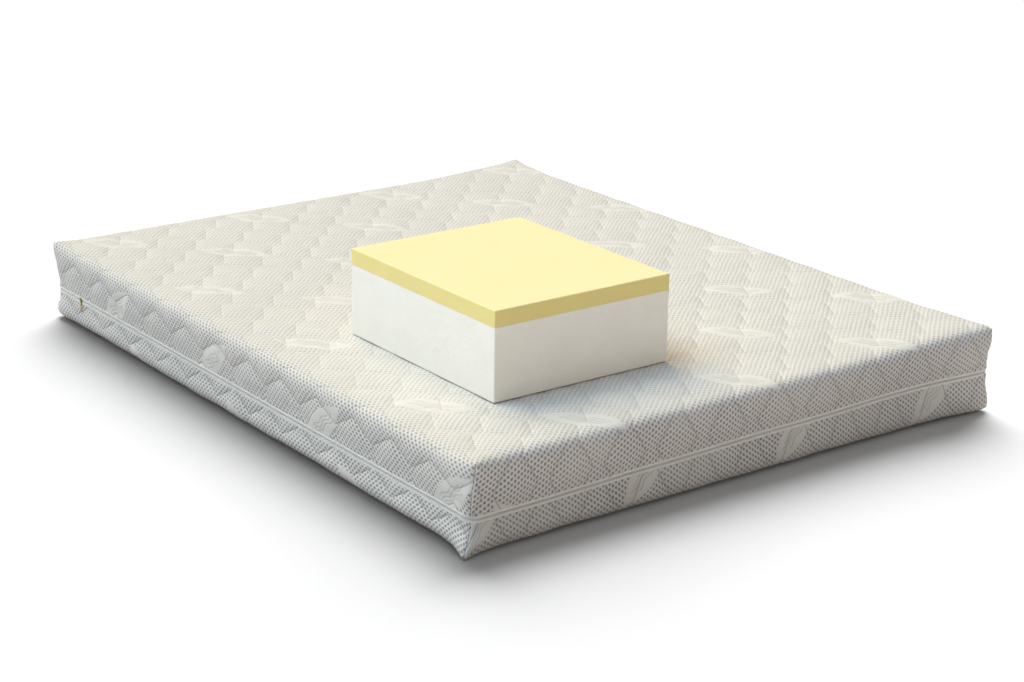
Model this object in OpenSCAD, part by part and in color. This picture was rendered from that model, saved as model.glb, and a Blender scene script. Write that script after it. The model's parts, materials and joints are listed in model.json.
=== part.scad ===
// Memory foam mattress in a two-part quilted cover that a zip closes all round,
// with a loose block cut from the same two-layer foam lying on top of it.
// Millimetres. The origin is the middle of the footprint, on the surface that the
// mattress lies on: X runs across the bed, Y along it, Z up.

/* [Mattress] */
// Width across the bed
mattress_w = 1600; // [1400:10:2000]
// Length along the bed
mattress_l = 2000; // [1900:10:2200]
// Height of the covered mattress
mattress_h = 220; // [200:1:260]
// Radius of the corners, seen from above
corner_r = 40; // [39:1:60]
// Radius of the edge between the top panel and the side wall
top_edge_r = 38; // [30:1:38]
// Radius of the edge between the bottom panel and the side wall
bottom_edge_r = 22; // [22:1:30]

/* [Cover layers] */
// Thickness of the outer knit
face_t = 2; // [1.5:0.1:2.5]
// Thickness of the wadding on the top and bottom panels
wadding_t = 6.5; // [5:0.1:8]
// Thickness of the lining
lining_t = 1.2; // [0.8:0.1:1.5]
// How far the side wall draws in at the zip
waist = 9; // [8:0.5:10]
// Height of the fullest part of the upper side wall
upper_bulge_z = 165; // [150:1:168]
// Height of the fullest part of the lower side wall
lower_bulge_z = 36; // [30:1:36]

/* [Quilting] */
// Distance between neighbouring zigzag threads
thread_pitch = 76; // [60:1:100]
// Distance along the bed between one point of a zigzag and the next
zigzag_step = 78; // [60:1:100]
// How far a zigzag swings to each side of its middle line
zigzag_swing = 22; // [10:1:28]
// Place across the bed of the middle line of one zigzag
quilt_x = -25; // [-38:1:38]
// Place along the bed of one row of zigzag points
quilt_y = 5; // [-39:1:39]
// Thickness of the thread as it lies on the lining
thread_t = 0.3; // [0.2:0.1:0.5]

/* [Zip] */
// Height of the middle of the zip
zip_z = 86; // [86:1:98]
// Visible width of the whole zip, from knit to knit
zip_w = 18; // [16:1:20]
// Thickness of a zip tape
tape_t = 0.9; // [0.6:0.1:1]
// Width of one row of coil teeth
coil_w = 3; // [2.5:0.1:3.5]
// Thickness of the coil
coil_t = 2.3; // [2:0.1:2.5]
// Gap between the two rows, which the slider's wedge runs in
chain_gap = 1.2; // [1:0.1:1.5]
// Length of the slider along the zip
slider_l = 12; // [10:0.5:14]
// Distance of the closed slider from the middle of the left side
slider_y = 838; // [700:1:850]
// Length of the pull tab from its pin
tab_l = 28; // [20:1:30]

/* [Foam] */
// Thickness of the memory foam layer
memory_t = 40; // [30:1:60]
// Thickness of the glue between the foam layers
glue_t = 0.5; // [0.3:0.1:1]
// Gap between neighbouring pieces that move apart
gap = 0.3; // [0.3:0.1:0.5]
// Size of the loose sample across the bed
sample_w = 510; // [300:10:600]
// Size of the loose sample along the bed
sample_l = 590; // [300:10:600]
// Height of the loose sample
sample_h = 219; // [180:1:230]
// Place of the sample's middle across the bed
sample_x = -289; // [-400:1:400]
// Place of the sample's middle along the bed
sample_y = -442; // [-500:1:500]

/* [Hidden] */
$fn = 48;
curve_steps = 6;                 // straight pieces in each bulge and each rounded edge
seam_allowance = 6.5;            // how far a tape runs on behind the knit
seam_t = 0.8;                    // how far a corner seam stands proud
seam_angle = 1.6;                // degrees of the corner that a corner seam covers
stitch_w = 1;                    // width of a row of sewing thread
stop_l = 2.5;                    // length of a zip end stop
stop_gap = 2;                    // gap between the two ends of the chain

upper_rim_z = zip_z + zip_w / 2;
lower_rim_z = zip_z - zip_w / 2;
upper_tooth_z = zip_z + chain_gap / 2;
lower_tooth_z = zip_z - chain_gap / 2;
tape_in = waist + face_t;        // depth of the tape's outer side behind the widest point
coil_in = tape_in - coil_t;
lining_in = tape_in + 1;         // depth of the lining's outer side on the walls
lining_edge_r = 26;
panel_t = face_t + wadding_t;    // depth of the lining on the panels
cover_t = panel_t + lining_t;
core_in = lining_in + lining_t + gap;

core_z0 = cover_t + thread_t + gap;
core_z1 = mattress_h - cover_t - thread_t - gap;
sample_z0 = mattress_h + gap;

plate_t = 1.2;                   // slider plates
back_plate_t = 1;
web_t = 0.6;                     // wedge of the slider between the two coils
web_l = 4;
plate_w = 12;
front_plate_in = coil_in - gap - plate_t;
back_plate_in = tape_in + tape_t + gap;
pin_in = front_plate_in - 1.8;   // depth of the crown bar that the tab turns on
pin_r = 0.6;
post_y = 3.5;                    // half of the room between the crown's posts
post_l = 1.2;
post_w = 2;

eye_r = 1.4;
eye_bore_r = 0.8;
eye_l = 5;
tab_w = 8;
tab_t = 1;
tab_neck = 5;
tab_tilt = 8;                    // the tab leans out, because the cover bulges below it

chain_end_y = slider_y + slider_l / 2 + gap + stop_l;
chain_start_y = chain_end_y + stop_gap;

// Outer line of one cover half, t below the skin, as [depth, z] points from its rim
// at the zip, over the bulge and round the edge, to the panel at z = base.
// side is 1 for the upper half and -1 for the lower half.
function skin_line(t, rim, bulge, edge_r, base, side) = concat(
    [for (i = [0 : curve_steps - 1]) let (s = i / curve_steps)
        [t + waist * (1 - sin(90 * s)), rim + s * (bulge - rim)]],
    [for (i = [0 : curve_steps]) let (a = 90 * i / curve_steps)
        [edge_r - (edge_r - t) * cos(a),
         base - side * edge_r + side * (edge_r - t) * sin(a)]],
    [[corner_r, base - side * t]]
);

// The same for the lining, which runs straight up the wall at one depth.
function lining_line(t, rim, base, side) = concat(
    [[lining_in + t, rim]],
    [for (i = [0 : curve_steps]) let (a = 90 * i / curve_steps)
        [lining_in + lining_edge_r - (lining_edge_r - t) * cos(a),
         base - side * (panel_t + lining_edge_r) + side * (lining_edge_r - t) * sin(a)]],
    [[corner_r, base - side * (panel_t + t)]]
);

function upper_skin(t) =
    skin_line(t, upper_rim_z, upper_bulge_z, top_edge_r, mattress_h, 1);
function lower_skin(t) =
    skin_line(t, lower_rim_z, lower_bulge_z, bottom_edge_r, 0, -1);
function reversed(line) = [for (i = [len(line) - 1 : -1 : 0]) line[i]];
function without_first(line) = [for (i = [1 : len(line) - 1]) line[i]];
function between(outer, inner) = concat(outer, reversed(inner));

// A closed [depth, z] outline swept round the four sides and corners of the bed.
module ring(outline) {
    for (flip = [0, 1]) {
        mirror([flip, 0, 0]) rotate([90, 0, 0])
            linear_extrude(height = mattress_l - 2 * corner_r, center = true)
                polygon([for (p = outline) [mattress_w / 2 - p[0], p[1]]]);
        mirror([0, flip, 0]) rotate([90, 0, 90])
            linear_extrude(height = mattress_w - 2 * corner_r, center = true)
                polygon([for (p = outline) [mattress_l / 2 - p[0], p[1]]]);
    }
    at_corners() rotate_extrude(angle = 90)
        polygon([for (p = outline) [corner_r - p[0], p[1]]]);
}

// Puts its child at the centre of each rounded corner, turned to face outward.
module at_corners() {
    x = mattress_w / 2 - corner_r;
    y = mattress_l / 2 - corner_r;
    for (c = [[x, y, 0], [-x, y, 90], [-x, -y, 180], [x, -y, 270]])
        translate([c[0], c[1], 0]) rotate([0, 0, c[2]]) children();
}

// A ring of rectangular section.
module band(d0, d1, z0, z1) {
    ring([[d0, z0], [d1, z0], [d1, z1], [d0, z1]]);
}

// The flat middle of a panel, between the rings of the walls.
module panel(z0, z1) {
    translate([0, 0, z0]) linear_extrude(height = z1 - z0)
        square([mattress_w - 2 * corner_r, mattress_l - 2 * corner_r], center = true);
}

// A foam layer of the core between z0 and z1. Its edge at z0 or z1 is rounded to
// fit the lining when side is -1 or 1, and both edges are square when side is 0.
module core_layer(z0, z1, side) {
    base = side > 0 ? z1 : z0;
    edge_w = lining_edge_r - lining_t - gap;
    edge_h = edge_w - thread_t;
    straight = [[core_in, side > 0 ? z0 : z1]];
    edge = [for (i = [0 : curve_steps]) let (a = 90 * i / curve_steps)
        [core_in + edge_w * (1 - cos(a)), base - side * edge_h * (1 - sin(a))]];
    square_edge = [[core_in, z0]];
    rest = [[corner_r, base], [corner_r, side > 0 ? z0 : z1]];
    ring(concat(straight, side == 0 ? square_edge : edge, rest));
    panel(z0, z1);
}

// All zigzag threads of one panel: every second one is mirrored, so that their
// points face each other in pairs.
module quilt_threads(z0) {
    reach_x = mattress_w / 2 - corner_r - zigzag_swing;
    reach_y = mattress_l / 2 - corner_r;
    first_line = ceil((-reach_x - quilt_x) / thread_pitch);
    last_line = floor((reach_x - quilt_x) / thread_pitch);
    first_point = ceil((-reach_y - quilt_y) / zigzag_step);
    last_point = floor((reach_y - quilt_y) / zigzag_step);
    translate([0, 0, z0]) linear_extrude(height = thread_t)
        for (k = [first_line : last_line]) {
            line = [for (j = [first_point : last_point])
                [quilt_x + k * thread_pitch
                     + ((j + k) % 2 == 0 ? 1 : -1) * zigzag_swing,
                 quilt_y + j * zigzag_step]];
            polygon(concat(
                [for (p = line) [p[0] - stitch_w / 2, p[1]]],
                [for (p = reversed(line)) [p[0] + stitch_w / 2, p[1]]]
            ));
        }
}

// A raised seam up the middle of each corner, along the given line of the skin.
module corner_seams(line) {
    proud = [for (p = line) [p[0] - seam_t, p[1]]];
    at_corners() rotate([0, 0, 45 - seam_angle / 2])
        rotate_extrude(angle = seam_angle)
            polygon([for (p = between(proud, line)) [corner_r - p[0], p[1]]]);
}

// One row of coil teeth, open where the two ends of the chain meet.
module coil(z0, z1) {
    difference() {
        band(coil_in, tape_in, z0, z1);
        translate([-mattress_w / 2, chain_end_y - stop_l, z0 - 1])
            cube([2 * tape_in, 2 * stop_l + stop_gap, z1 - z0 + 2]);
    }
}

// The two stops that close the ends of one row of teeth.
module zip_stops(z0, z1) {
    for (y = [chain_end_y - stop_l, chain_start_y])
        translate([coil_in - mattress_w / 2, y, z0]) cube([coil_t, stop_l, z1 - z0]);
}

module cover_bottom_face() {
    color("whitesmoke") {
        ring(between(lower_skin(0), lower_skin(face_t)));
        panel(0, face_t);
    }
}

module cover_bottom_wadding() {
    color("white") {
        ring(between(without_first(lower_skin(face_t)),
                     lining_line(0, lower_skin(0)[1][1], 0, -1)));
        panel(face_t, panel_t);
    }
}

module cover_bottom_lining() {
    color("gainsboro") {
        ring(between(lining_line(0, lower_skin(0)[1][1], 0, -1),
                     lining_line(lining_t, lower_skin(0)[1][1], 0, -1)));
        panel(panel_t, cover_t);
    }
}

module cover_bottom_quilt_threads() {
    color("ivory") quilt_threads(cover_t);
}

module cover_bottom_corner_seams() {
    line = lower_skin(0);
    color("slategray") corner_seams([for (i = [1 : len(line) - 3]) line[i]]);
}

module cover_bottom_zip_tape() {
    color("ivory")
        band(tape_in, tape_in + tape_t, lower_rim_z - seam_allowance, lower_tooth_z);
}

module cover_bottom_zip_coil() {
    color("white") coil(lower_tooth_z - coil_w, lower_tooth_z);
}

module cover_bottom_zip_seam() {
    z = lower_rim_z - seam_allowance / 2;
    color("ivory")
        band(tape_in + tape_t, tape_in + tape_t + thread_t, z - stitch_w, z);
}

module cover_bottom_zip_stops() {
    color("silver") zip_stops(lower_tooth_z - coil_w, lower_tooth_z);
}

module core_base_foam() {
    color("white") core_layer(core_z0, core_z1 - memory_t - glue_t, -1);
}

module core_glue_line() {
    color("pink") core_layer(core_z1 - memory_t - glue_t, core_z1 - memory_t, 0);
}

module core_memory_foam() {
    color("khaki") core_layer(core_z1 - memory_t, core_z1, 1);
}

module cover_top_face() {
    color("whitesmoke") {
        ring(between(upper_skin(0), upper_skin(face_t)));
        panel(mattress_h - face_t, mattress_h);
    }
}

module cover_top_wadding() {
    color("white") {
        ring(between(without_first(upper_skin(face_t)),
                     lining_line(0, upper_skin(0)[1][1], mattress_h, 1)));
        panel(mattress_h - panel_t, mattress_h - face_t);
    }
}

module cover_top_lining() {
    color("gainsboro") {
        ring(between(lining_line(0, upper_skin(0)[1][1], mattress_h, 1),
                     lining_line(lining_t, upper_skin(0)[1][1], mattress_h, 1)));
        panel(mattress_h - cover_t, mattress_h - panel_t);
    }
}

module cover_top_quilt_threads() {
    color("ivory") quilt_threads(mattress_h - cover_t - thread_t);
}

module cover_top_corner_seams() {
    line = upper_skin(0);
    color("slategray") corner_seams([for (i = [1 : len(line) - 3]) line[i]]);
}

module cover_top_zip_tape() {
    color("ivory")
        band(tape_in, tape_in + tape_t, upper_tooth_z, upper_rim_z + seam_allowance);
}

module cover_top_zip_coil() {
    color("white") coil(upper_tooth_z, upper_tooth_z + coil_w);
}

module cover_top_zip_seam() {
    z = upper_rim_z + seam_allowance / 2;
    color("ivory")
        band(tape_in + tape_t, tape_in + tape_t + thread_t, z, z + stitch_w);
}

module cover_top_zip_stops() {
    color("silver") zip_stops(upper_tooth_z, upper_tooth_z + coil_w);
}

// Puts its child on the left side at the slider's middle, with X as the depth inward
// from the widest point of the cover.
module at_slider() {
    translate([-mattress_w / 2, slider_y, zip_z]) children();
}

// Two plates and the wedge between the coils. Only the lower edge has a lip, so the
// upper row of teeth can lift out.
module zip_slider_body() {
    lip_w = plate_w / 2 - chain_gap / 2 - coil_w - gap;
    color("darkgoldenrod") at_slider() {
        translate([front_plate_in, -slider_l / 2, -plate_w / 2])
            cube([plate_t, slider_l, plate_w]);
        translate([back_plate_in, -slider_l / 2, -plate_w / 2])
            cube([back_plate_t, slider_l, plate_w]);
        translate([front_plate_in, -slider_l / 2, -web_t / 2])
            cube([back_plate_in + back_plate_t - front_plate_in, web_l, web_t]);
        translate([front_plate_in, -slider_l / 2, -plate_w / 2])
            cube([tape_in - gap - front_plate_in, slider_l, lip_w]);
        for (y = [-post_y - post_l, post_y])
            translate([pin_in - pin_r, y, -post_w / 2])
                cube([front_plate_in - pin_in + pin_r + plate_t / 2, post_l, post_w]);
        translate([pin_in, 0, 0]) rotate([90, 0, 0])
            cylinder(r = pin_r, h = 2 * post_y + post_l, center = true);
    }
}

// A flat tab with a rolled eye round the crown bar and a grip hole near its end.
module zip_pull_tab() {
    grip_hole_r = 1.6;
    color("goldenrod") at_slider() translate([pin_in, 0, 0]) rotate([0, tab_tilt, 0])
        difference() {
            union() {
                rotate([90, 0, 0]) cylinder(r = eye_r, h = eye_l, center = true);
                translate([-tab_t / 2, -eye_l / 2, -tab_neck])
                    cube([tab_t, eye_l, tab_neck]);
                translate([-tab_t / 2, -tab_w / 2, -tab_l + tab_w / 2])
                    cube([tab_t, tab_w, tab_l - tab_w / 2 - tab_neck]);
                translate([0, 0, -tab_l + tab_w / 2]) rotate([0, 90, 0])
                    cylinder(d = tab_w, h = tab_t, center = true);
            }
            rotate([90, 0, 0]) cylinder(r = eye_bore_r, h = eye_l + 1, center = true);
            translate([0, 0, -tab_l + tab_w / 2]) rotate([0, 90, 0])
                cylinder(r = grip_hole_r, h = tab_t + 1, center = true);
        }
}

// One layer of the loose sample.
module sample_layer(z0, z1) {
    translate([sample_x, sample_y, sample_z0 + z0]) linear_extrude(height = z1 - z0)
        square([sample_w, sample_l], center = true);
}

module sample_base_foam() {
    color("white") sample_layer(0, sample_h - memory_t - glue_t);
}

module sample_glue_line() {
    color("pink") sample_layer(sample_h - memory_t - glue_t, sample_h - memory_t);
}

module sample_memory_foam() {
    color("khaki") sample_layer(sample_h - memory_t, sample_h);
}

cover_bottom_face();
cover_bottom_wadding();
cover_bottom_lining();
cover_bottom_quilt_threads();
cover_bottom_corner_seams();
cover_bottom_zip_tape();
cover_bottom_zip_coil();
cover_bottom_zip_seam();
cover_bottom_zip_stops();
core_base_foam();
core_glue_line();
core_memory_foam();
cover_top_face();
cover_top_wadding();
cover_top_lining();
cover_top_quilt_threads();
cover_top_corner_seams();
cover_top_zip_tape();
cover_top_zip_coil();
cover_top_zip_seam();
cover_top_zip_stops();
zip_slider_body();
zip_pull_tab();
sample_base_foam();
sample_glue_line();
sample_memory_foam();
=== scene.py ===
"""Looks of the zipped memory foam mattress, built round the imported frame.

All lengths are in metres. X runs across the bed, Y along it and Z up. The cover is
built from two box-like sheets of cloth. A place on the cloth is given as it would lie
when the walls are folded out flat: u across the bed and v along it, from the middle.
"""

import json
import math
from collections import namedtuple

import bmesh
import bpy
import numpy as np
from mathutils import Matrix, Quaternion, Vector

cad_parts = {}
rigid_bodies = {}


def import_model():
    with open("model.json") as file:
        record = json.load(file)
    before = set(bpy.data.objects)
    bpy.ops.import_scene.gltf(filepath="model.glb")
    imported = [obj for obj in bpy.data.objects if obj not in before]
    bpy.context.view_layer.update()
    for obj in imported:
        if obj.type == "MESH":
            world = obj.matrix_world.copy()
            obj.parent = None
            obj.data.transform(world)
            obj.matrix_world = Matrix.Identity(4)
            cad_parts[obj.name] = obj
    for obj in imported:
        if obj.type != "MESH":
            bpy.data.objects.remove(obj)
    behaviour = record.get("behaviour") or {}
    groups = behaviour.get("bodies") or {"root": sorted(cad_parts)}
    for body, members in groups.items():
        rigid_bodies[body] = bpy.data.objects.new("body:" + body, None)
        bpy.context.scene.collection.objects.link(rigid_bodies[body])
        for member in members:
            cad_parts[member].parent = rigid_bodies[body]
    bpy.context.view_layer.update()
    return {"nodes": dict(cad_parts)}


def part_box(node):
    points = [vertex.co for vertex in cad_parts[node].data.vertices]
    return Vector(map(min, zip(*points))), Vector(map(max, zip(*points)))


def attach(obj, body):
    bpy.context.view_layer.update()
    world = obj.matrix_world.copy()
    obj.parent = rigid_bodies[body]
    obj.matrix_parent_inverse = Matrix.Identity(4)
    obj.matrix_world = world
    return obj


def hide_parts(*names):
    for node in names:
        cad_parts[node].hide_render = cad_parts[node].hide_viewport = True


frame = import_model()

MM = 0.001

# ------------------------------------------------------------ sizes taken from the frame


def node_box(node):
    low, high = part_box(node)
    return np.array(low), np.array(high)


skin_low, skin_high = node_box("cover_top_face")
floor_low, floor_high = node_box("cover_bottom_face")
HALF_W = skin_high[0]
HALF_L = skin_high[1]
TOP_Z = skin_high[2]
UPPER_RIM_Z = skin_low[2]
BOTTOM_Z = floor_low[2]
LOWER_RIM_Z = floor_high[2]
ZIP_Z = (UPPER_RIM_Z + LOWER_RIM_Z) / 2
CORNER_R = 40 * MM
TAPE_IN = HALF_W - node_box("cover_top_zip_tape")[1][0]
TAPE_T = 0.9 * MM
COIL_IN = HALF_W - node_box("cover_top_zip_coil")[1][0]
WAIST = TAPE_IN - 2 * MM
LINING_IN = HALF_W - node_box("cover_top_lining")[1][0]
CHAIN_END_Y = node_box("cover_top_zip_stops")[0][1]
CHAIN_START_Y = node_box("cover_top_zip_stops")[1][1]

# ------------------------------------------------------------ pattern of the cloth

THREAD_PITCH = 76 * MM
THREAD_X = 51 * MM
ZIGZAG_STEP = 78 * MM
ZIGZAG_Y = 5 * MM
ZIGZAG_SWING = 22 * MM
THREAD_SLOPE = math.cos(math.atan2(2 * ZIGZAG_SWING, ZIGZAG_STEP))
TILE_REPEATS = 3
TILE_W = 2 * THREAD_PITCH * TILE_REPEATS
TILE_L = 2 * ZIGZAG_STEP * TILE_REPEATS
TILE_STEP = 4 * MM

KNIT_EASE = 1.12
HOLE_CELL = (17.8 * MM, 14.9 * MM)
HOLE_HALF = (3.7 * MM, 4.5 * MM)
HOLE_SLANT = 0.15
OVAL_CELL = (460 * MM, 516 * MM)
OVAL_START = (-430 * MM, -925 * MM)
OVAL_HALF = (104 * MM, 37 * MM)
OVAL_TURN = math.radians(-49)
WAVE_PERIOD = 46 * MM
WAVE_SWING = 3.8 * MM
WAVE_SPACING = 11 * MM


def smoothstep(low, high, x):
    t = np.clip((x - low) / (high - low), 0.0, 1.0)
    return t * t * (3 - 2 * t)


def bump_at(x, width):
    """A bell curve of height 1 round 0."""
    return np.exp(-((x / width) ** 2))


def repeated(table, row, col, ease=lambda share: share):
    """Values between the points of a table that repeats endlessly."""
    i = np.floor(row).astype(int)
    j = np.floor(col).astype(int)
    s = ease(row - i)
    t = ease(col - j)
    rows, cols = table.shape
    low = table[i % rows, j % cols] * (1 - s) + table[(i + 1) % rows, j % cols] * s
    j += 1
    high = table[i % rows, j % cols] * (1 - s) + table[(i + 1) % rows, j % cols] * s
    return low * (1 - t) + high * t


def noise(x, y, size, seed):
    """Smooth noise from -1 to 1 over a plane, with features of the given size."""
    table = np.random.RandomState(seed).uniform(-1, 1, (64, 64))
    x = np.asarray(x) / size + 31.7
    y = np.asarray(y) / size + 17.3
    return repeated(table, x, y, lambda share: smoothstep(0, 1, share))


def zigzag(v, k):
    """Where thread k lies across the cloth, at v along it."""
    wave = 1 - 2 * np.abs(((v - ZIGZAG_Y) / ZIGZAG_STEP % 2) - 1)
    return k * THREAD_PITCH + THREAD_X + ZIGZAG_SWING * wave * (1 - 2 * (k % 2))


def thread_distance(u, v):
    """Distance to the nearest quilting thread."""
    k = np.floor((u - THREAD_X) / THREAD_PITCH).astype(int)
    near = [np.abs(u - zigzag(v, k + n)) for n in (-1, 0, 1, 2)]
    return np.min(near, axis=0) * THREAD_SLOPE


# ------------------------------------------------------------ quilting by cloth simulation


def grid_faces(ids):
    """Quads over a grid of vertex numbers."""
    corners = (ids[:-1, :-1], ids[:-1, 1:], ids[1:, 1:], ids[1:, :-1])
    return np.stack(corners, axis=-1).reshape(-1, 4)


def pinned_cloth(u, v, held):
    """Heights of a flat sheet that is pinned at some points and blown up from below."""
    start = 1 * MM * (1 - bump_at(thread_distance(u, v), 12 * MM))
    start += np.random.RandomState(5).uniform(0, 0.02 * MM, u.shape)
    points = np.stack([u, v, np.where(held, 0, start)], axis=-1).reshape(-1, 3)
    ids = np.arange(u.size).reshape(u.shape)
    mesh = bpy.data.meshes.new("quilt_tile")
    mesh.from_pydata(points.tolist(), [], grid_faces(ids).tolist())
    tile = bpy.data.objects.new("quilt_tile", mesh)
    scene = bpy.context.scene
    scene.collection.objects.link(tile)
    group = tile.vertex_groups.new(name="stitched")
    group.add(np.flatnonzero(held).tolist(), 1.0, "REPLACE")
    cloth = tile.modifiers.new("cloth", "CLOTH")
    cloth.point_cache.frame_end = SETTLED_FRAME
    for setting, value in KNIT_CLOTH.items():
        setattr(cloth.settings, setting, value)
    cloth.settings.effector_weights.gravity = 0
    for number in range(1, SETTLED_FRAME + 1):
        scene.frame_set(number)
    settled = tile.evaluated_get(bpy.context.evaluated_depsgraph_get()).to_mesh()
    result = np.empty(u.size * 3)
    settled.vertices.foreach_get("co", result)
    scene.frame_set(1)
    bpy.data.objects.remove(tile, do_unlink=True)
    bpy.data.meshes.remove(mesh)
    return result.reshape(-1, 3)[:, 2].reshape(u.shape)


KNIT_CLOTH = {
    "quality": 5,
    "mass": 0.3,
    "tension_stiffness": 15,
    "compression_stiffness": 15,
    "shear_stiffness": 8,
    "bending_stiffness": 2,
    "tension_damping": 10,
    "compression_damping": 10,
    "shear_damping": 10,
    "bending_damping": 2,
    "air_damping": 3,
    "shrink_min": -0.02,
    "vertex_group_mass": "stitched",
    "use_pressure": True,
    "uniform_pressure_force": 4,
}
SETTLED_FRAME = 14


def softened(heights):
    """Takes out ripples as fine as the grid."""
    inner = heights[1:-1, 1:-1]
    across = heights[1:-1, :-2] + heights[1:-1, 2:]
    along = heights[:-2, 1:-1] + heights[2:, 1:-1]
    result = heights.copy()
    result[1:-1, 1:-1] = inner * 0.4 + (across + along) * 0.15
    return result


def folded_over(heights, axis, margin, count):
    """Makes heights repeat along an axis, by fading its far margin into its near one."""
    rows = np.moveaxis(heights, axis, 0)
    body = rows[margin : margin + count].copy()
    after = rows[margin + count : margin + count + margin]
    fade = smoothstep(0, 1, (np.arange(len(after)) + 0.5) / len(after))[:, None]
    body[: len(after)] = body[: len(after)] * fade + after * (1 - fade)
    return np.moveaxis(body, 0, axis)


def puffed_tile():
    """Heights over one repeat of the quilting: 0 at the threads, about 1 on the puffs."""
    margin = round(THREAD_PITCH / TILE_STEP)
    cells_u = round(TILE_W / TILE_STEP)
    cells_v = round(TILE_L / TILE_STEP)
    u, v = np.meshgrid(
        (np.arange(cells_u + 2 * margin) - margin) * TILE_W / cells_u,
        (np.arange(cells_v + 2 * margin) - margin) * TILE_L / cells_v,
    )
    near = thread_distance(u, v)
    held = near < 0.55 * TILE_STEP
    held[[0, -1]] = True
    held[:, [0, -1]] = True
    heights = softened(pinned_cloth(u, v, held))
    heights /= np.percentile(heights, 88)
    heights = np.clip(heights, 0, 1.15)
    heights = heights + 0.35 * np.clip(heights * (1 - heights), 0, 1)
    return folded_over(folded_over(heights, 1, margin, cells_u), 0, margin, cells_v)


TILE = puffed_tile()


def puff(u, v):
    """Height of the quilting at a place on the cloth, from the repeated tile."""
    rows, cols = TILE.shape
    return repeated(TILE, (v % TILE_L) / TILE_L * rows, (u % TILE_W) / TILE_W * cols)


# ------------------------------------------------------------ mesh helpers


def piece(name, verts, faces, material, body, slot, node, smooth=True):
    """A finished mesh piece that rides on a body and stands for a node."""
    mesh = bpy.data.meshes.new(name)
    polygons = faces.tolist() if isinstance(faces, np.ndarray) else faces
    mesh.from_pydata(np.asarray(verts).tolist(), [], polygons)
    mesh.polygons.foreach_set("use_smooth", [smooth] * len(mesh.polygons))
    mesh.materials.append(material)
    mesh.update()
    obj = bpy.data.objects.new(name, mesh)
    bpy.context.scene.collection.objects.link(obj)
    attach(obj, body)
    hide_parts(node)
    return obj


def unit(ways):
    """The same directions with length 1."""
    return ways / np.maximum(np.linalg.norm(ways, axis=1, keepdims=True), 1e-12)


def ringed(ids):
    """A grid of vertex numbers with its first column repeated after its last one."""
    return np.concatenate([ids, ids[:, :1]], axis=1)


def write_uv(obj, corner_uv, name="cloth"):
    """Gives a piece its own map of where each face corner lies on the cloth."""
    layer = obj.data.uv_layers.new(name=name)
    layer.data.foreach_set("uv", np.asarray(corner_uv, float).reshape(-1))


def quad_cross(verts, faces):
    """Cross product of the diagonals of each quad, twice its area long."""
    a, b, c, d = (verts[faces[:, n]] for n in range(4))
    return np.cross(c - a, d - b)


def normals_of(verts, faces):
    across = quad_cross(verts, faces)
    total = np.zeros_like(verts)
    for n in range(4):
        np.add.at(total, faces[:, n], across)
    return unit(total)


def tube(points, outward, radius, sides, closed=False):
    """Vertices and faces of a thin round tube along points. outward is any direction at
    each point that isn't along the tube."""
    ahead = np.roll(points, -1, axis=0) - np.roll(points, 1, axis=0)
    if not closed:
        ahead[0] = points[1] - points[0]
        ahead[-1] = points[-1] - points[-2]
    ahead = unit(ahead)
    side = unit(np.cross(ahead, outward))
    up = np.cross(side, ahead)
    turn = (np.arange(sides) * 2 * math.pi / sides)[None, :, None]
    ring = np.cos(turn) * up[:, None] + np.sin(turn) * side[:, None]
    verts = points[:, None] + radius * ring
    ids = ringed(np.arange(len(points) * sides).reshape(len(points), sides))
    if closed:
        ids = np.concatenate([ids, ids[:1]], axis=0)
    faces = grid_faces(ids).tolist()
    if not closed:
        faces.append(ids[0, :-1][::-1].tolist())
        faces.append(ids[-1, :-1].tolist())
    return verts.reshape(-1, 3), faces


def joined(parts):
    """One list of vertices and one of faces from many."""
    verts = []
    faces = []
    total = 0
    for some, polygons in parts:
        verts.append(np.asarray(some))
        faces.extend([[int(i) + total for i in polygon] for polygon in polygons])
        total += len(some)
    return np.concatenate(verts), faces


# ------------------------------------------------------------ the way round the zip


ZIP_CLIMB = 22 * MM
CORNER_DIP = 1.8 * MM
CORNER_REACH = 130 * MM
PULL_REACH = 150 * MM


def zip_wave(x, y):
    """How far the zip strays from its level. It dips towards the corners, climbs along the
    front and comes down again round the back, but stays straight on the side that the
    slider runs along."""
    to_x = HALF_W - np.abs(x)
    to_y = HALF_L - np.abs(y)
    left = smoothstep(-0.7, -0.79, x)
    wave = 1.1 * np.sin(7.3 * x + 4.1 * y + 0.6) + 0.7 * np.sin(15.1 * x - 11.7 * y + 2.0)
    reach_y = CORNER_REACH - 90 * MM * left
    near = bump_at(to_x, CORNER_REACH) * bump_at(to_y, reach_y)
    deeper = 1 + smoothstep(0.2, -0.6, x) * smoothstep(0.2, -0.6, y)
    front = smoothstep(-0.8, 0.75, x) * smoothstep(1.0, -1.0, y)
    return wave * MM * (1 - 0.8 * left) - CORNER_DIP * near * deeper + ZIP_CLIMB * front


def corner_pull(x, y):
    """How far the two right-hand corners are drawn out of square, zip and all."""
    to_right = bump_at(HALF_W - x, PULL_REACH)
    front = to_right * bump_at(HALF_L + y, PULL_REACH)
    back = to_right * bump_at(HALF_L - y, PULL_REACH)
    return np.stack([20 * (front + back), 6 * back - 18 * front], axis=1) * MM


def rounded_in(depth, radius, x, y):
    """Brings points on the outline of the bed in by depth and rounds its corners off."""
    w = HALF_W - depth
    l = HALF_L - depth
    x = np.clip(x, -w, w)
    y = np.clip(y, -l, l)
    cx = np.clip(x, -(w - radius), w - radius)
    cy = np.clip(y, -(l - radius), l - radius)
    dx = x - cx
    dy = y - cy
    in_corner = (np.abs(dx) > 1e-9) & (np.abs(dy) > 1e-9)
    square = np.maximum(np.abs(dx), np.abs(dy))
    scale = np.where(in_corner, square / np.maximum(np.hypot(dx, dy), 1e-9), 1.0)
    return cx + dx * scale, cy + dy * scale


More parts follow.
